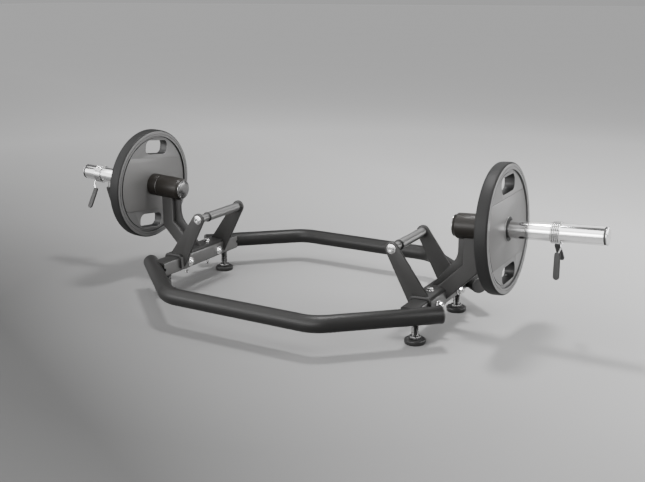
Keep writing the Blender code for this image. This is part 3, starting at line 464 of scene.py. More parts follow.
def makeRail(end):
    front = ends[end]
    bend = math.atan2(legRun.y, legRun.x)
    tangent = rails["bend"] * math.tan(bend / 2)
    out = Vector((legRun.x, front * legRun.y, 0.0)).normalized()
    start = Vector((-rails["endX"], front * rails["endY"], rails["height"]))
    bm = bmesh.new()
    bmesh.ops.create_circle(bm, cap_ends=True, segments=rails["facets"], radius=rails["pipe"],
                            matrix=along(out, start))

    def push(face, shift):
        geom = [face] if face.calc_center_median() == start else region(face)
        return grow(bm, geom, shift)[0]

    def swing(face, x):
        centre = (x, front * (rails["offset"] - rails["bend"]), rails["height"])
        last = bmesh.ops.spin(bm, geom=region(face), cent=centre, axis=(0, 0, 1), angle=-front * bend,
                              steps=rails["bendSteps"])["geom_last"]
        return next(part for part in last if isinstance(part, bmesh.types.BMFace))

    bm.faces.ensure_lookup_table()
    face = push(bm.faces[0], out * (legRun.length - tangent))
    face = swing(face, tangent - rails["halfRun"])
    face = push(face, Vector((2 * (rails["halfRun"] - tangent), 0.0, 0.0)))
    face = swing(face, rails["halfRun"] - tangent)
    push(face, Vector((out.x, -out.y, 0.0)) * (legRun.length - tangent))
    bmesh.ops.recalc_face_normals(bm, faces=bm.faces)
    piece(end + "Rail", soften(bm, 0.0006, 2, 60.0), [railCoat], end + "_rail")


def makePlug(end, side):
    front, hand = ends[end], sides[side]
    out = Vector((hand * legRun.x, -front * legRun.y, 0.0)).normalized()
    place = along(out, (hand * rails["endX"], front * rails["endY"], rails["height"]))
    pipe, lip, crown = rails["pipe"], rails["plugLip"], rails["plugCrown"]
    stem, depth, edge = pipe - rails["plugWall"], rails["plugDepth"], pipe - 0.0002
    profile = [(0.0, -depth), (stem, -depth), (stem, seatGap), (edge, seatGap), (edge, lip)]
    profile += [(pipe * 0.90, lip + crown * 0.55), (pipe * 0.55, lip + crown * 0.92), (0.0, lip + crown)]
    piece(f"{end}Plug{title(side)}", turned(profile, 48, rails["plugRound"], 3), [plug],
          f"rail_cap_{end}_{side}", seat=place)


for end in ends:
    makeRail(end)
    for side in sides:
        makePlug(end, side)
print("rails made")


# Crossmembers, saddles and their bolts

beam = {"x": 0.430, "half": 0.025, "low": 0.0695, "high": 0.1155, "corner": 0.005,
        "holeY": 0.196, "hole": 0.0055}
saddle = {"plate": 0.008, "bend": 0.012, "length": 0.1225, "top": 0.1238, "drop": 0.0445, "edge": 0.0008}
saddleHalf = beam["half"] + saddle["plate"] + seatGap
bolts = {"y": 0.076, "z": 0.0920, "shank": 0.006, "head": 0.0105, "headHigh": 0.0075, "washer": 0.0135,
         "washerThick": 0.0025, "nutHigh": 0.0100, "tail": 0.0070, "pitch": 0.00175}


def legY(x):
    return rails["endY"] + (rails["endX"] - x) * legRun.y / legRun.x


def paintedLitSide(face):    # a beam's upright sides get painted light: a lighter, glossier copy of the coat, while its top, bottom and ends keep a darker copy as painted shade
    return abs(face.normal.x) > 0.9


def makeCrossmember(side):
    across = sides[side] * beam["x"]
    reach = legY(beam["x"]) - rails["pipe"] * 0.6
    middle = (beam["low"] + beam["high"]) / 2
    tube = slab(rounded(box(beam["half"], beam["high"] - middle, beam["corner"]), 6), -reach, reach)
    moved(tube, along((0, 1, 0), (across, 0, middle)) @ Matrix.Rotation(math.radians(90), 4, "Z"))
    holes = [moved(hoop(0.0, beam["hole"], -0.03, 0.03, 24),
                   along((1, 0, 0), (across, front * beam["holeY"], middle))) for front in ends.values()]
    # painted light on the upright sides, painted shade on the top, bottom and ends
    tube = paint(cut(tube, holes), 1, paintedLitSide)
    piece("crossmember" + title(side), tube, [paintedShadeCoat, paintedLitSideCoat], "crossmember_" + side)


def makeSaddle(side):
    outer, inner = saddleHalf, beam["half"] + seatGap
    top, foot = saddle["top"], saddle["top"] - saddle["drop"]
    under, bend = top - saddle["plate"], saddle["bend"]
    tight = bend - saddle["plate"]
    corners = [(outer, foot, 0), (outer, top, bend), (-outer, top, bend), (-outer, foot, 0),
               (-inner, foot, 0), (-inner, under, tight), (inner, under, tight), (inner, foot, 0)]
    bm = slab(rounded(corners, 8), -saddle["length"], saddle["length"], saddle["edge"], 2, 40.0)
    place = Matrix(((1, 0, 0, sides[side] * beam["x"]), (0, 0, 1, 0), (0, 1, 0, 0), (0, 0, 0, 1)))
    # painted light on the flanges' upright sides, painted shade on the top and ends
    piece("saddle" + title(side), paint(bm, 1, paintedLitSide), [paintedShadeCoat, paintedLitSideCoat], "saddle_" + side, seat=place)


def threaded(radius, start, end, pitch):    # a turned profile of fine grooves, with a chamfered tip
    turns = max(2, round((end - start) / pitch))
    step = (end - start) / turns
    profile = [(0.0, start)]
    for turn in range(turns):
        crest, root = start + step * (turn + 0.25), start + step * (turn + 0.75)
        profile += [(radius, crest), (radius - pitch * 0.35, root)]
    return profile + [(radius - pitch * 0.5, end), (0.0, end)]


def makeSaddleBolt(end, side):
    hand, front = sides[side], ends[end]
    face = saddleHalf + seatGap
    high, wide, thick = bolts["headHigh"], bolts["head"], bolts["washerThick"]
    washer = hoop(bolts["shank"], bolts["washer"], -thick, 0.0, 40, 0.0004)
    other = moved(washer.copy(), Matrix.Translation((0, 0, face + thick)))
    moved(washer, Matrix.Translation((0, 0, -face)))
    button = [(0.0, -high * 0.45), (wide * 0.36, -high * 0.45), (wide * 0.40, -high * 0.97)]    # socket first
    button += [(wide * math.sin(angle), -high * math.cos(angle)) for angle in (0.6, 0.85, 1.1, 1.3, 1.5)]
    button += [(wide, 0.0), (0.0, 0.0)]
    head = moved(turned(button, 40), Matrix.Translation((0, 0, -face - thick)))
    nutEnd = face + thick + bolts["nutHigh"]
    nut = hexagon(wide * 1.06, face + thick, nutEnd, 0.0007)
    thread = threaded(bolts["shank"], nutEnd - 0.001, nutEnd + bolts["tail"], bolts["pitch"])
    bm = join(head, nut, turned(thread, 32), washer, other)
    place = along((hand, 0, 0), (hand * beam["x"], front * bolts["y"], bolts["z"]))
    piece(f"saddleBolt{title(end)}{title(side)}", bm, [zinc], f"saddle_bolt_{end}_{side}", seat=place)


clamp = {"y": 0.056, "shank": 0.005, "hex": 0.0098, "headHigh": 0.0066, "nutHigh": 0.0090, "tail": 0.0150,
         "washer": 0.0112, "washerThick": 0.0016, "pitch": 0.0015}


def makeClampBolt(end, side):    # upright, head on the saddle, nut under the crossmember
    top, low, thick = saddle["top"], beam["low"], clamp["washerThick"]
    head = hexagon(clamp["hex"], top + thick, top + thick + clamp["headHigh"], 0.0010, 3)
    foot = low - thick - clamp["nutHigh"]
    nut = hexagon(clamp["hex"], foot, low - thick, 0.0008, 2)
    tail = moved(turned(threaded(clamp["shank"], 0.0, clamp["tail"] + 0.001, clamp["pitch"]), 32),
                 Matrix.Translation((0, 0, foot + 0.001)) @ Matrix.Rotation(math.pi, 4, "X"))
    washers = [hoop(clamp["shank"], clamp["washer"], start, start + thick, 40, 0.0004)
               for start in (top, low - thick)]
    place = Matrix.Translation((sides[side] * beam["x"], ends[end] * clamp["y"], 0))
    piece(f"clampBolt{title(end)}{title(side)}", join(head, nut, tail, *washers), [zinc],
          "crossmember_" + side, True, place)


for side in sides:
    makeCrossmember(side)
    makeSaddle(side)
    for end in ends:
        makeSaddleBolt(end, side)
        makeClampBolt(end, side)
print("crossmembers and saddles made")


# Handles

handle = {"x": 0.334, "z": 0.2445, "eye": 0.020, "footX": 0.447, "tipZ": 0.083, "outer": 0.112,
          "plate": 0.008, "edge": 0.0009, "grip": 0.014, "spacer": 0.01225, "bore": 0.006, "start": -0.060,
          "ring": 0.01575, "ringWide": 0.003, "ringBore": 0.010,
          "washer": 0.0135, "washerThick": 0.002, "washerBore": 0.005, "head": 0.0105, "headHigh": 0.0065}


def tangentAngle(point, sign):    # at the eye, where a line from the point touches it
    away = Vector(point) - Vector((handle["x"], handle["z"]))
    return math.degrees(math.atan2(away.y, away.x) + sign * math.acos(handle["eye"] / away.length))


def makeHandleArm(end, side):
    hand, front = sides[side], ends[end]
    foot = (handle["footX"], saddle["top"] - 0.001)
    corner = (beam["x"] - saddleHalf + 0.001, saddle["top"] - 0.006)
    tip = (beam["x"] - saddleHalf - 0.0004, handle["tipZ"])
    outline = [foot] + arc((handle["x"], handle["z"]), handle["eye"], tangentAngle(foot, 1),
                           tangentAngle(tip, -1) + 360, 24)
    outline += [tip, corner, (corner[0] + 0.006, saddle["top"] - 0.001)]
    near, far = handle["outer"] - handle["plate"], handle["outer"]
    bm = slab(outline, near, far, handle["edge"], 2, 40.0)
    place = Matrix(((hand, 0, 0, 0), (0, 0, front, 0), (0, 1, 0, 0), (0, 0, 0, 1)))
    piece(f"handleArm{title(end)}{title(side)}", bm, [coat], f"handle_arm_{end}_{side}", seat=place)


def makeHandleGrip(side):
    reach = handle["outer"] - handle["plate"] - seatGap
    start, bore, hole = handle["start"], handle["bore"], handle["ringBore"]
    ring, wide = handle["ring"], handle["ringWide"]
    rear = reach - 2 * wide
    lap = 0.0005    # the grip runs this far under its rings
    spacer = hoop(bore, handle["spacer"], -reach, start, 64, 0.0006)
    grip = hoop(bore, handle["grip"], start - lap, rear + lap, 64)
    front = hoop(hole, ring, start - wide, start, 64, 0.0010, 3)
    back = turned([(hole, rear), (ring, rear), (ring, rear + wide), (ring * 0.93, rear + wide),
                   (ring * 0.93, reach), (hole, reach)], 64, 0.0006)
    bm = join(spacer, grip, paint(join(front, back), 1))
    place = along((0, 1, 0), (sides[side] * handle["x"], 0, handle["z"]))
    piece("handleGrip" + title(side), bm, [gripSteel, darkRingAndGapShade], "handle_grip_" + side, seat=place)


def makeHandleBolt(side):
    face = handle["outer"] + seatGap
    thick, head, high = handle["washerThick"], handle["head"], handle["headHigh"]
    washer = hoop(handle["washerBore"], handle["washer"], 0.0, thick, 48, 0.0004)
    top, floor = thick + high, thick + high * 0.35    # the socket's floor
    cap = turned([(0.0, thick), (head * 0.92, thick), (head * 0.96, thick + 0.001),
                  (head * 0.96, thick + high * 0.55), (head * 0.90, thick + high * 0.82), (head * 0.76, top),
                  (0.0, top)], 64)
    socket = hexagon(head * 0.52, floor, top + 0.002, 0.0)
    dimple = turned([(0.0, floor - 0.001), (head * 0.20, floor + 0.001), (0.0, top)], 24)
    front = join(washer, cut(cap, [socket, dimple]))
    rear = front.copy()
    moved(front, along((0, -1, 0), (0, -face, 0)))
    moved(rear, along((0, 1, 0), (0, face, 0)))
    shank = moved(hoop(0.0, handle["bore"], -face, face, 24), along((0, 1, 0), (0, 0, 0)))
    place = Matrix.Translation((sides[side] * handle["x"], 0, handle["z"]))
    piece("handleBolt" + title(side), join(front, rear, shank), [zinc], "handle_bolt_" + side, seat=place)


for side in sides:
    makeHandleGrip(side)
    makeHandleBolt(side)
    for end in ends:
        makeHandleArm(end, side)
print("handles made")


# Sleeve arms, gussets and barrels

arm = {"x": 0.5305, "half": 0.0225, "depth": 0.019, "corner": 0.005, "mitreZ": 0.1895, "footX": 0.440}
gusset = {"plate": 0.008, "topX": 0.488, "footX": 0.412, "kneeZ": 0.215, "bend": 0.060, "edge": 0.0009}
barrel = {"bore": 0.024, "chamfer": 0.0065, "chamferLength": 0.009, "edge": 0.0012,
          "capStep": 0.0012, "capShort": 0.0015, "ringIn": 0.001, "ringOut": 0.0014, "ringWide": 0.0022}


def makeSleeveArm(side):
    top = sleeveSeat(side).translation.z
    lean = math.tan(math.radians(22.5))    # the mitre halves the 45 degree turn
    bm = bmesh.new()
    section = rounded(box(arm["half"], arm["depth"], arm["corner"]), 6)
    face = bm.faces.new([bm.verts.new((arm["x"] + x, y, top)) for x, y in section])
    face, corners = grow(bm, [face], (0, 0, arm["mitreZ"] - top))
    for vert in corners:
        vert.co.z -= (vert.co.x - arm["x"]) * lean
    fall = arm["x"] - arm["footX"]
    grow(bm, region(face), (-fall, 0, -fall))
    bmesh.ops.recalc_face_normals(bm, faces=bm.faces)
    place = Matrix.Scale(sides[side], 4, (1, 0, 0))
    piece("sleeveArm" + title(side), bm, [coat], "sleeve_arm_" + side, seat=place)


def makeGusset(side):
    top, foot = sleeveSeat(side).translation.z, saddle["top"] - 0.001
    line = arm["mitreZ"] - arm["x"] + arm["half"] * math.sqrt(2)    # the lower leg's edge, z less x
    inner = arm["x"] - arm["half"] + 0.002
    sink = 0.004    # into the lower leg
    corners = [(gusset["topX"], top, 0), (gusset["topX"], gusset["kneeZ"], gusset["bend"]),
               (gusset["footX"], foot, 0), (foot - line + sink, foot, 0), (inner, inner + line - sink, 0),
               (inner, top, 0)]
    bm = slab(rounded(corners, 16), -gusset["plate"] / 2, gusset["plate"] / 2, gusset["edge"], 2, 40.0)
    place = Matrix(((sides[side], 0, 0, 0), (0, 0, 1, 0), (0, 1, 0, 0), (0, 0, 0, 1)))
    piece("armGusset" + title(side), bm, [coat], "arm_gusset_" + side, seat=place)


def makeBarrel(side):
    seat = sleeveSeat(side)
    node, bore, step = "barrel_" + side, barrel["bore"], barrel["capStep"]
    start, end, radius = span(node, seat)
    profile = [(bore, start), (radius - barrel["chamfer"], start), (radius, start + barrel["chamferLength"]),
               (radius, end), (bore, end)]
    piece("barrel" + title(side), turned(profile, 128, barrel["edge"], 3), [barrelCoat], node, seat=seat)
    low, high, edge = span("barrel_cap_" + side, seat)
    profile = [(0.0, high), (bore, high), (bore, 0.0), (edge, 0.0), (edge, -step)]
    profile += dome(edge, -step, low + barrel["capShort"])
    piece("barrelCap" + title(side), turned(profile, 128), [capSteel], "barrel_cap_" + side, seat=seat)
    ring = hoop(edge - barrel["ringIn"], edge + barrel["ringOut"], 0.0, -barrel["ringWide"], 128, 0.0005)
    piece("barrelRing" + title(side), ring, [capSteel], node, True, seat)


for side in sides:
    makeSleeveArm(side)
    makeGusset(side)
    makeBarrel(side)
print("sleeve arms and barrels made")


# Sleeves

sleeve = {"bore": 0.020, "edge": 0.0010, "capCrown": 0.0041, "capEdge": 0.0014, "ring": 0.0035,
          "ringBack": 0.0018, "ringInset": 0.0012, "ringBore": 0.015,
          "stopBore": 0.0252, "washer": 0.0348, "washerLow": -0.0004, "washerHigh": 0.0008}


def makeSleeve(side):
    seat = sleeveSeat(side)
    node, bore = "sleeve_" + side, sleeve["stopBore"]
    start, end, radius = span(node, seat)
    ringStart, ringEnd = end - sleeve["ringBack"], end + seatGap + sleeve["ring"]
    tube = hoop(sleeve["bore"], radius, start, ringStart, 128, sleeve["edge"])
    piece("sleeve" + title(side), tube, [chrome], node, seat=seat)
    # painted shade: a dark ring fills the gap between the sleeve and its cap
    ring = hoop(sleeve["ringBore"], radius - sleeve["ringInset"], ringStart, ringEnd, 128)
    edge = ringEnd + sleeve["capEdge"] - 0.0002
    profile = [(0.0, ringEnd), (radius, ringEnd), (radius, edge)] + dome(radius, edge, sleeve["capCrown"])
    piece("sleeveCap" + title(side), join(turned(profile, 128), paint(ring, 1)), [capChrome, darkRingAndGapShade],
          "sleeve_cap_" + side, seat=seat)
    start, end, radius = span("stop_collar_" + side, seat)
    washerEnd = start + sleeve["washerHigh"]
    stop = hoop(bore, radius, washerEnd, end, 128, 0.0014, 3)
    piece("stopCollar" + title(side), stop, [barrelCoat], "stop_collar_" + side, seat=seat)
    washer = hoop(bore, sleeve["washer"], start + sleeve["washerLow"], washerEnd, 128)
    piece("thrustWasher" + title(side), washer, [spindleSteel], node, True, seat)


for side in sides:
    makeSleeve(side)
print("sleeves made")


# Weight plates

plate = {"rimWidth": 0.021, "round": 0.006, "crown": 0.0005, "web": 0.0145, "band": 0.0155, "bandHalf": 0.088,
         "groove": 0.0062, "grooveDepth": 0.0016, "line": 0.0070, "lineWidth": 0.0016, "lineDepth": 0.0008,
         "slotHalf": 0.053, "slotHigh": 0.023, "slotCentre": 0.123, "slotCorner": 0.018, "lip": 0.0014,
         "hub": 0.031, "bore": 0.0253, "flange": 0.0345, "flangeThick": 0.0015,
         "lipRadius": 0.0272, "lipDepth": 0.0008, "dotRadius": 0.0308, "dot": 0.0017, "dotTurn": 8.0,
         "turn": {"left": -7.0, "right": 0.0}}


def plateSeat(side):
    seat = sleeveSeat(side)
    low, high, radius = span("weight_plate_" + side, seat)
    turn = Matrix.Rotation(sides[side] * math.radians(plate["turn"][side]), 4, "Z")
    return seat @ Matrix.Translation((0, 0, (low + high) / 2)) @ turn, (high - low) / 2, radius


def slotOutline(centre):
    corners = box(plate["slotHigh"], plate["slotHalf"], plate["slotCorner"])
    return rounded([(x + centre, y, radius) for x, y, radius in corners], 10)


def fromAxis(point):
    return math.hypot(point.x, point.y)


def plateProfile(rim, radius):    # web, groove, rim with its line, and the rounded tread, mirrored
    web, corner = plate["web"], plate["round"]
    inner = radius - plate["rimWidth"]
    bed = inner - plate["groove"]
    low = web - plate["grooveDepth"]
    line, floor = inner + plate["line"], rim - plate["lineDepth"]
    lineEnd = line + plate["lineWidth"]
    face = [(plate["hub"], web), (bed, web), (bed + 0.0008, low), (inner - 0.0004, low),
            (inner + 0.0006, rim - 0.0006), (inner + 0.0012, rim), (line, rim), (line + 0.0003, floor),
            (lineEnd - 0.0003, floor), (lineEnd, rim), (radius - corner - 0.0010, rim)]
    face += arc((radius - corner - plate["crown"], rim - corner), corner, 88, 14, 9)
    face += [(radius - 0.0002, rim * 0.45)]
    return face + [(point, -height) for point, height in reversed(face)]


def makePlate(side):
    seat, rim, radius = plateSeat(side)
    inner, web, lip = radius - plate["rimWidth"], plate["web"], plate["lip"]
    bed = inner - plate["groove"]
    slots = [slab(slotOutline(up * plate["slotCentre"]), -0.03, 0.03) for up in (-1, 1)]
    disc = cut(turned(plateProfile(rim, radius), 160), slots)

    def slotEdge(edge):    # on the web, away from its groove and hub
        return all(abs(abs(vert.co.z) - web) < 0.00001
                   and plate["hub"] + 0.002 < fromAxis(vert.co) < bed - 0.0002 for vert in edge.verts)

    def tread(face):
        return fromAxis(face.calc_center_median()) > radius - plate["round"] * 0.8

    # painted shade: the slot walls are painted near black
    def slotWall(face):
        middle = face.calc_center_median()
        high = abs(abs(middle.x) - plate["slotCentre"]) < plate["slotHigh"] + lip
        return high and abs(middle.y) < plate["slotHalf"] + lip and abs(face.normal.z) < 0.5

    # painted shade: the groove and the rim's line are painted dark
    def groove(face):
        middle = face.calc_center_median()
        out, line = fromAxis(middle), inner + plate["line"]
        inGroove = bed < out < inner + 0.0009 or line < out < line + plate["lineWidth"]
        return inGroove and abs(middle.z) < rim - 0.0002

    # painted light: on the outer face the grooves take a lighter paint than on the inner face
    def outerGroove(face):
        return face.material_index == 4 and face.calc_center_median().z > 0

    soften(disc, lip, 3, 50.0, slotEdge)
    for number, chosen in ((2, tread), (3, slotWall), (4, groove), (5, outerGroove)):
        paint(disc, number, chosen)
    bandRadius = bed - 0.0004
    chord = math.degrees(math.asin(plate["bandHalf"] / bandRadius))
    outline = arc((0, 0), bandRadius, 90 - chord, 90 + chord, 40)
    outline += arc((0, 0), bandRadius, 270 - chord, 270 + chord, 40)
    for low, high in ((web - 0.002, plate["band"]), (-plate["band"], 0.002 - web)):
        knife = hoop(0.0, plate["hub"] + 0.0002, -0.03, 0.03, 96)
        band = cut(slab(outline, low, high, 0.0005, 2, 40.0), [knife])
        join(disc, paint(paint(band, 1), 4, lambda face: abs(face.normal.z) < 0.9))
    finishes = [plateFace, plateBand, plateEdge, paintedSlotShade, paintedRecessShade, paintedLitGroove]
    piece("weightPlate" + title(side), disc, finishes, "weight_plate_" + side, seat=seat)


def makeHub(side):
    bore, outer, band = plate["bore"], plate["hub"] - 0.0002, plate["band"]
    lip, flange, top = plate["lipRadius"], plate["flange"], band + seatGap
    face = top + plate["flangeThick"]
    floor = face - plate["lipDepth"]
    hub = turned([(bore, -band), (outer, -band), (outer, top), (flange, top), (flange, face), (lip, face),
                  (lip, floor), (bore, floor)], 128, 0.0003)
    spots = [Matrix.Rotation(math.radians(90 * turn + plate["dotTurn"]), 4, "Z")
             @ Matrix.Translation((plate["dotRadius"], 0, top)) for turn in range(4)]
    dots = [moved(hoop(0.0, plate["dot"], 0.0, 0.01, 20), spot) for spot in spots]

    def paintedShadeSpots(face):    # the bore's lip and the four dots, painted dark as shade in these recesses
        middle = face.calc_center_median()
        inDot = any((middle - spot.translation).length < plate["dot"] * 1.2 for spot in spots)
        return inDot or fromAxis(middle) < lip + 0.0002

    piece("plateHub" + title(side), paint(cut(hub, dots), 1, paintedShadeSpots), [hubSteel, paintedRecessShade],
          "plate_hub_" + side, seat=plateSeat(side)[0])


for side in sides:
    makePlate(side)
    makeHub(side)
print("weight plates made")


# Spring collars

collar = {"wire": 0.0022, "pitch": 0.00505, "turns": 5, "spread": 50.0, "bend": 0.0058, "inside": 0.0253,
          "gripStart": 0.0525, "gripEnd": 0.1255, "gripWidth": 0.017, "gripThick": 0.0075, "hold": 0.012,
          "shift": {"outer": 0.003, "inner": -0.010}, "place": {"right": 0.284, "left": 0.352},
          "turn": {"right": 16.0, "left": -4.0}, "facets": 16, "stepsATurn": 56,
          "lead": 0.005, "padEdge": 0.0024}
leverEnd = {"outer": "front", "inner": "rear"}    # which lever the wire runs into at each end of the coil
coilEnd = {"outer": -1, "inner": 1}
coilRadius = collar["inside"] + collar["wire"]
coilSweep = collar["turns"] * 360 + collar["spread"]    # degrees of wire from lever to lever


def collarSeat(side):
    turn = Matrix.Rotation(sides[side] * math.radians(collar["turn"][side]), 4, "Z")
    return sleeveSeat(side) @ Matrix.Translation((0, 0, collar["place"][side])) @ turn


def makeCoil(side, which):    # half of the coil, from its middle to the lever at its end
    hand, sign = sides[side], coilEnd[which]
    short = math.degrees(collar["wire"] * 2 / coilRadius)
    swing = (coilSweep - 2 * short) / 2
    steps = round(swing / 360 * collar["stepsATurn"])
    rise = -sign * collar["pitch"] * swing / 360
    place = Matrix.Rotation(math.radians(hand * collar["turns"] * 180), 4, "Z")
    place = place @ Matrix.Translation((coilRadius, 0, 0)) @ Matrix.Rotation(math.radians(90), 4, "X")
    bm = bmesh.new()
    bmesh.ops.create_circle(bm, cap_ends=True, segments=collar["facets"], radius=collar["wire"], matrix=place)
    bmesh.ops.spin(bm, geom=bm.faces[:] + bm.edges[:] + bm.verts[:], cent=(0, 0, 0), axis=(0, 0, 1),
                   angle=math.radians(sign * hand * swing), steps=steps, dvec=(0, 0, rise / steps))
    bmesh.ops.holes_fill(bm, edges=[edge for edge in bm.edges if edge.is_boundary], sides=collar["facets"])
    bmesh.ops.recalc_face_normals(bm, faces=bm.faces)
    seat = collarSeat(side)
    lever = f"lever_{leverEnd[which]}_{side}"
    bend = (lever, seat @ Vector((0, 0, 0)), seat @ Vector((0, 0, rise)))
    piece(f"collarCoil{title(which)}{title(side)}", bm, [springSteel], "collar_spring_" + side,
          which == "inner", seat, bend)


def wire(points, radius, facets=6):    # a smooth round wire along points, as a mesh
    curve = bpy.data.curves.new("wire", "CURVE")
    curve.dimensions = "3D"
    curve.bevel_depth = radius
    curve.bevel_resolution = facets
    curve.use_fill_caps = True
    spline = curve.splines.new("POLY")
    spline.points.add(len(points) - 1)
    for place, point in zip(spline.points, points):
        place.co = (*point, 1.0)
    guide = bpy.data.objects.new("wire", curve)
    bpy.context.scene.collection.objects.link(guide)
    bm = shapeOf(guide)
    bpy.data.objects.remove(guide, do_unlink=True)
    return bm


def leverPath(hand, which, out, goal):    # off the coil along its tangent, round a bend, then outwards
    sign, bend = coilEnd[which], collar["bend"]
    rise = -sign * collar["pitch"] * coilSweep / 720
    tangent = Vector((-out.y * hand, out.x * hand, 0.0)) * sign
    start = out * coilRadius + Vector((0, 0, rise)) - tangent * collar["lead"]
    path = [start, start + tangent * 0.0025]
    for step in range(11):
        swing = math.radians(9 * step)
        path.append(start + tangent * (0.0045 + bend * math.sin(swing)) + out * bend * (1 - math.cos(swing)))
    leave = path[-1].dot(out)
    base = path[-1] - out * leave
    for step in range(1, 17):
        share = step / 16
        smooth = share * share * (3 - 2 * share)
        reach = leave + (collar["gripStart"] + collar["hold"] - leave) * share
        path.append(base.lerp(goal, smooth) + out * reach)
    return path


def makeLever(side, which):
    hand, angle = sides[side], coilEnd[which] * math.radians(collar["spread"] / 2)
    out, across = Vector((math.cos(angle), hand * math.sin(angle), 0.0)), Vector((0, 0, 1))
    goal = across * collar["shift"][which]
    wide, length = collar["gripWidth"] / 2, collar["gripEnd"] - collar["gripStart"]
    corners = [(0.0, -wide * 0.62, 0.002), (0.004, -wide * 0.9, 0.004), (length * 0.5, -wide, 0.02),
               (length, -wide, wide * 0.98), (length, wide, wide * 0.98), (length * 0.5, wide, 0.02),
               (0.004, wide * 0.9, 0.004), (0.0, wide * 0.62, 0.002)]
    thick = collar["gripThick"] / 2
    grip = paint(slab(rounded(corners, 8), -thick, thick, collar["padEdge"], 4, 40.0), 1)
    turn = Matrix((out, across, out.cross(across))).transposed().to_4x4()
    moved(grip, Matrix.Translation(out * collar["gripStart"] + goal) @ turn)
    bm = join(wire(leverPath(hand, which, out, goal), collar["wire"]), grip)
    end = leverEnd[which]
    piece(f"collarLever{title(end)}{title(side)}", bm, [chrome, leverGrip], f"collar_lever_{end}_{side}",
          seat=collarSeat(side))


for side in sides:
    for which in leverEnd:
        makeCoil(side, which)
        makeLever(side, which)
print("collars made")


# Levelling feet

foot = {"x": 0.430, "y": 0.152, "pad": 0.030, "edge": 0.0100, "high": 0.0135, "rim": 0.0245, "dish": 0.0125,
        "stud": 0.010, "hex": 0.0175, "hexHigh": 0.0090, "pitch": 0.0020, "well": 0.007, "studLow": 0.0075}


def makeFoot(end, side):
    place = Matrix.Translation((sides[side] * foot["x"], ends[end] * foot["y"], 0.0))
    wide, round = foot["pad"], foot["high"] - foot["edge"]
    pad = [(0.0, 0.0), (wide - 0.0016, 0.0), (wide - 0.0004, 0.0016), (wide, 0.0034), (wide, foot["edge"])]
    pad += arc((wide - round, foot["edge"]), round, 12, 90, 7)
    pad += [(foot["rim"], foot["high"]), (foot["rim"] - 0.0009, foot["dish"]),
            (foot["stud"] + 0.0005, foot["dish"]), (foot["stud"] + 0.0005, foot["well"]), (0.0, foot["well"])]
    name = title(end) + title(side)
    piece("footPad" + name, turned(pad, 72), [footRubber], f"foot_pad_{end}_{side}", seat=place)
    node = f"foot_stud_{end}_{side}"
    thread = threaded(foot["stud"], foot["dish"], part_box(node)[1].z, foot["pitch"])
    stud = turned([(0.0, foot["studLow"]), (foot["stud"], foot["studLow"])] + thread[1:], 48)
    nut = hexagon(foot["hex"], foot["dish"] + 0.0001, foot["dish"] + foot["hexHigh"], 0.0014, 3)
    piece("footStud" + name, join(stud, nut), [studSteel], node, seat=place)


for side in sides:
    for end in ends:
        makeFoot(end, side)
print("feet made")


# Pieces that stay as the frame gives them, sealed inside

innerFinish = {"spindle": spindleSteel, "spindle_nut": spindleSteel, "bearing_bush": bronze}
for side in sides:
    for name, finish in innerFinish.items():
        mesh = frame["nodes"][f"{name}_{side}"].data
        mesh.materials.clear()
        mesh.materials.append(finish)


# Floor, light and camera

stage = {"floor": 60.0, "floorShade": 0.43, "warm": 0.004,
         "horizon": 0.40, "zenith": 0.13, "sky": (0.02, 0.40),
         # painted light and shade: the floor's colour is darkened towards the front and left and lightened towards
         # the rear and right
         "paintedFrontShade": 0.08, "fade": (0.50, 0.95, 0.0), "paintedLightScale": 0.25, "paintedLightEnds": (0.27, 0.9),
         # painted light: the floor glows more the farther it lies from the middle, lighting up the far floor
         "glow": 0.36, "paintedGlowScale": 0.125, "paintedGlowEnds": (0.12, 0.45)}
camera = {"place": (1.3706, -2.3059, 0.9329), "azimuth": 29.79, "elevation": 15.37, "roll": -0.08,
          "lens": 50.686, "sensor": 36.0}
lights = {    # soft panels that the camera doesn't see
    "overhead": {"place": (0.10, 0.20, 2.3), "aim": (0.05, 0.1, 0.0), "size": (0.36, 0.36), "power": 72.0},
    "frontSoftbox": {"place": (-0.6, -2.7, 1.08), "aim": (-0.1, 0.0, 0.8), "size": (4.4, 2.1), "power": 128},
    "frontStrip": {"place": (-0.6, -2.5, 1.00), "aim": (-0.1, 0.0, 0.5), "size": (4.0, 0.7), "power": 85.0},
    "topSoftbox": {"place": (-0.8, -1.3, 2.45), "aim": (-0.7, -0.9, 0.0), "size": (5.0, 1.9), "power": 108.0},
    "crownSoftbox": {"place": (-1.2, 0.9, 2.45), "aim": (-1.0, 0.3, 0.0), "size": (5.4, 1.2), "power": 30.0},
    "leftPanel": {"place": (-2.9, -1.6, 1.3), "aim": (-0.8, 0.0, 0.4), "size": (2.0, 2.4), "power": 34.0},
    "rearSoftbox": {"place": (0.4, 3.2, 2.2), "aim": (0.2, 0.0, 0.2), "size": (3.4, 1.0), "power": 28.0},
    "rightSide": {"place": (2.8, 0.3, 1.5), "aim": (0.9, 0.0, 0.1), "size": (1.4, 1.2), "power": 84.0},
    "rightRear": {"place": (2.6, 2.4, 0.60), "aim": (0.6, 0.0, 0.2), "size": (1.8, 0.66), "power": 29.0},
}


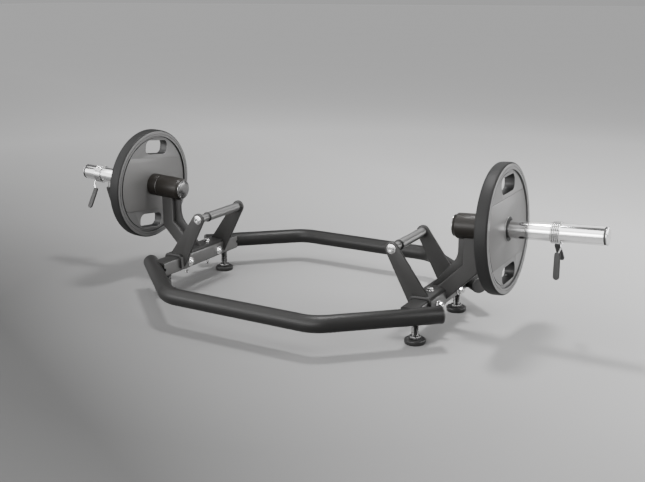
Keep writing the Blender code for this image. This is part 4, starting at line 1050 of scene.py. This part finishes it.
def makeFloor():
    finish = Finish("paleFloorPaintedLight", {"Specular IOR Level": 0.3, "Emission Strength": 1.0})
    clouds = finish.noise(0.7, 3.0)
    # painted light and shade: the floor's colour is darkened towards the front and left and lightened towards the
    # rear and right
    depth = finish.vector("DOT_PRODUCT", {0: finish.place, 1: stage["fade"]}, "Value")
    fade = finish.ramp(depth * stage["paintedLightScale"] + 0.5, *stage["paintedLightEnds"], stage["paintedFrontShade"], 1.0)
    shade, warm = stage["floorShade"], stage["warm"]
    tone = finish.mix(clouds, grey(shade * 0.93, warm), grey(shade * 1.05, warm))
    finish.colour(finish.vector("MULTIPLY", {0: tone, 1: fade}, "Vector"))
    # painted light: the floor glows more the farther it lies from the middle
    away = finish.vector("LENGTH", {0: finish.place}, "Value") * stage["paintedGlowScale"]
    glow = finish.ramp(away, *stage["paintedGlowEnds"], 0.0, stage["glow"])
    finish.plug(finish.shader.inputs["Emission Color"], glow)
    finish.rough(0.62 + clouds * 0.1)
    bm = bmesh.new()
    bmesh.ops.create_grid(bm, x_segments=4, y_segments=4, size=stage["floor"])
    mesh = bpy.data.meshes.new("floor")
    bm.to_mesh(mesh)
    bm.free()
    mesh.materials.append(finish.material)
    floor = bpy.data.objects.new("floor", mesh)
    bpy.context.scene.collection.objects.link(floor)


def makeLights():
    for name, light in lights.items():
        lamp = bpy.data.lights.new(name, "AREA")
        lamp.shape = "RECTANGLE"
        lamp.size, lamp.size_y = light["size"]
        lamp.energy = light["power"]
        holder = bpy.data.objects.new(name, lamp)
        holder.location = light["place"]
        holder.visible_camera = False
        aim = Vector(light["aim"]) - Vector(light["place"])
        holder.rotation_euler = aim.to_track_quat("-Z", "Y").to_euler()
        bpy.context.scene.collection.objects.link(holder)
    world = bpy.data.worlds.new("studio")
    world.use_nodes = True
    nodes, links = world.node_tree.nodes, world.node_tree.links
    place = nodes.new("ShaderNodeTexCoord")
    split = nodes.new("ShaderNodeSeparateXYZ")
    fade = nodes.new("ShaderNodeValToRGB")
    for stop, position, shade in zip(fade.color_ramp.elements, stage["sky"], ("horizon", "zenith")):
        stop.position = position
        stop.color = grey(stage[shade])
    links.new(place.outputs["Generated"], split.inputs["Vector"])
    links.new(split.outputs["Z"], fade.inputs["Fac"])
    links.new(fade.outputs["Color"], nodes["Background"].inputs["Color"])
    bpy.context.scene.world = world


def makeCamera():
    azimuth, elevation = math.radians(camera["azimuth"]), math.radians(camera["elevation"])
    back = Vector((math.sin(azimuth) * math.cos(elevation), -math.cos(azimuth) * math.cos(elevation),
                   math.sin(elevation)))
    holder = bpy.data.objects.new("camera", bpy.data.cameras.new("camera"))
    holder.data.lens = camera["lens"]
    holder.data.sensor_width = camera["sensor"]
    roll = Matrix.Rotation(math.radians(camera["roll"]), 3, "Z")
    turn = (-back).to_track_quat("-Z", "Y").to_matrix() @ roll
    holder.matrix_world = Matrix.Translation(camera["place"]) @ turn.to_4x4()
    bpy.context.scene.collection.objects.link(holder)
    bpy.context.scene.camera = holder


makeFloor()
makeLights()
makeCamera()
print("stage made")
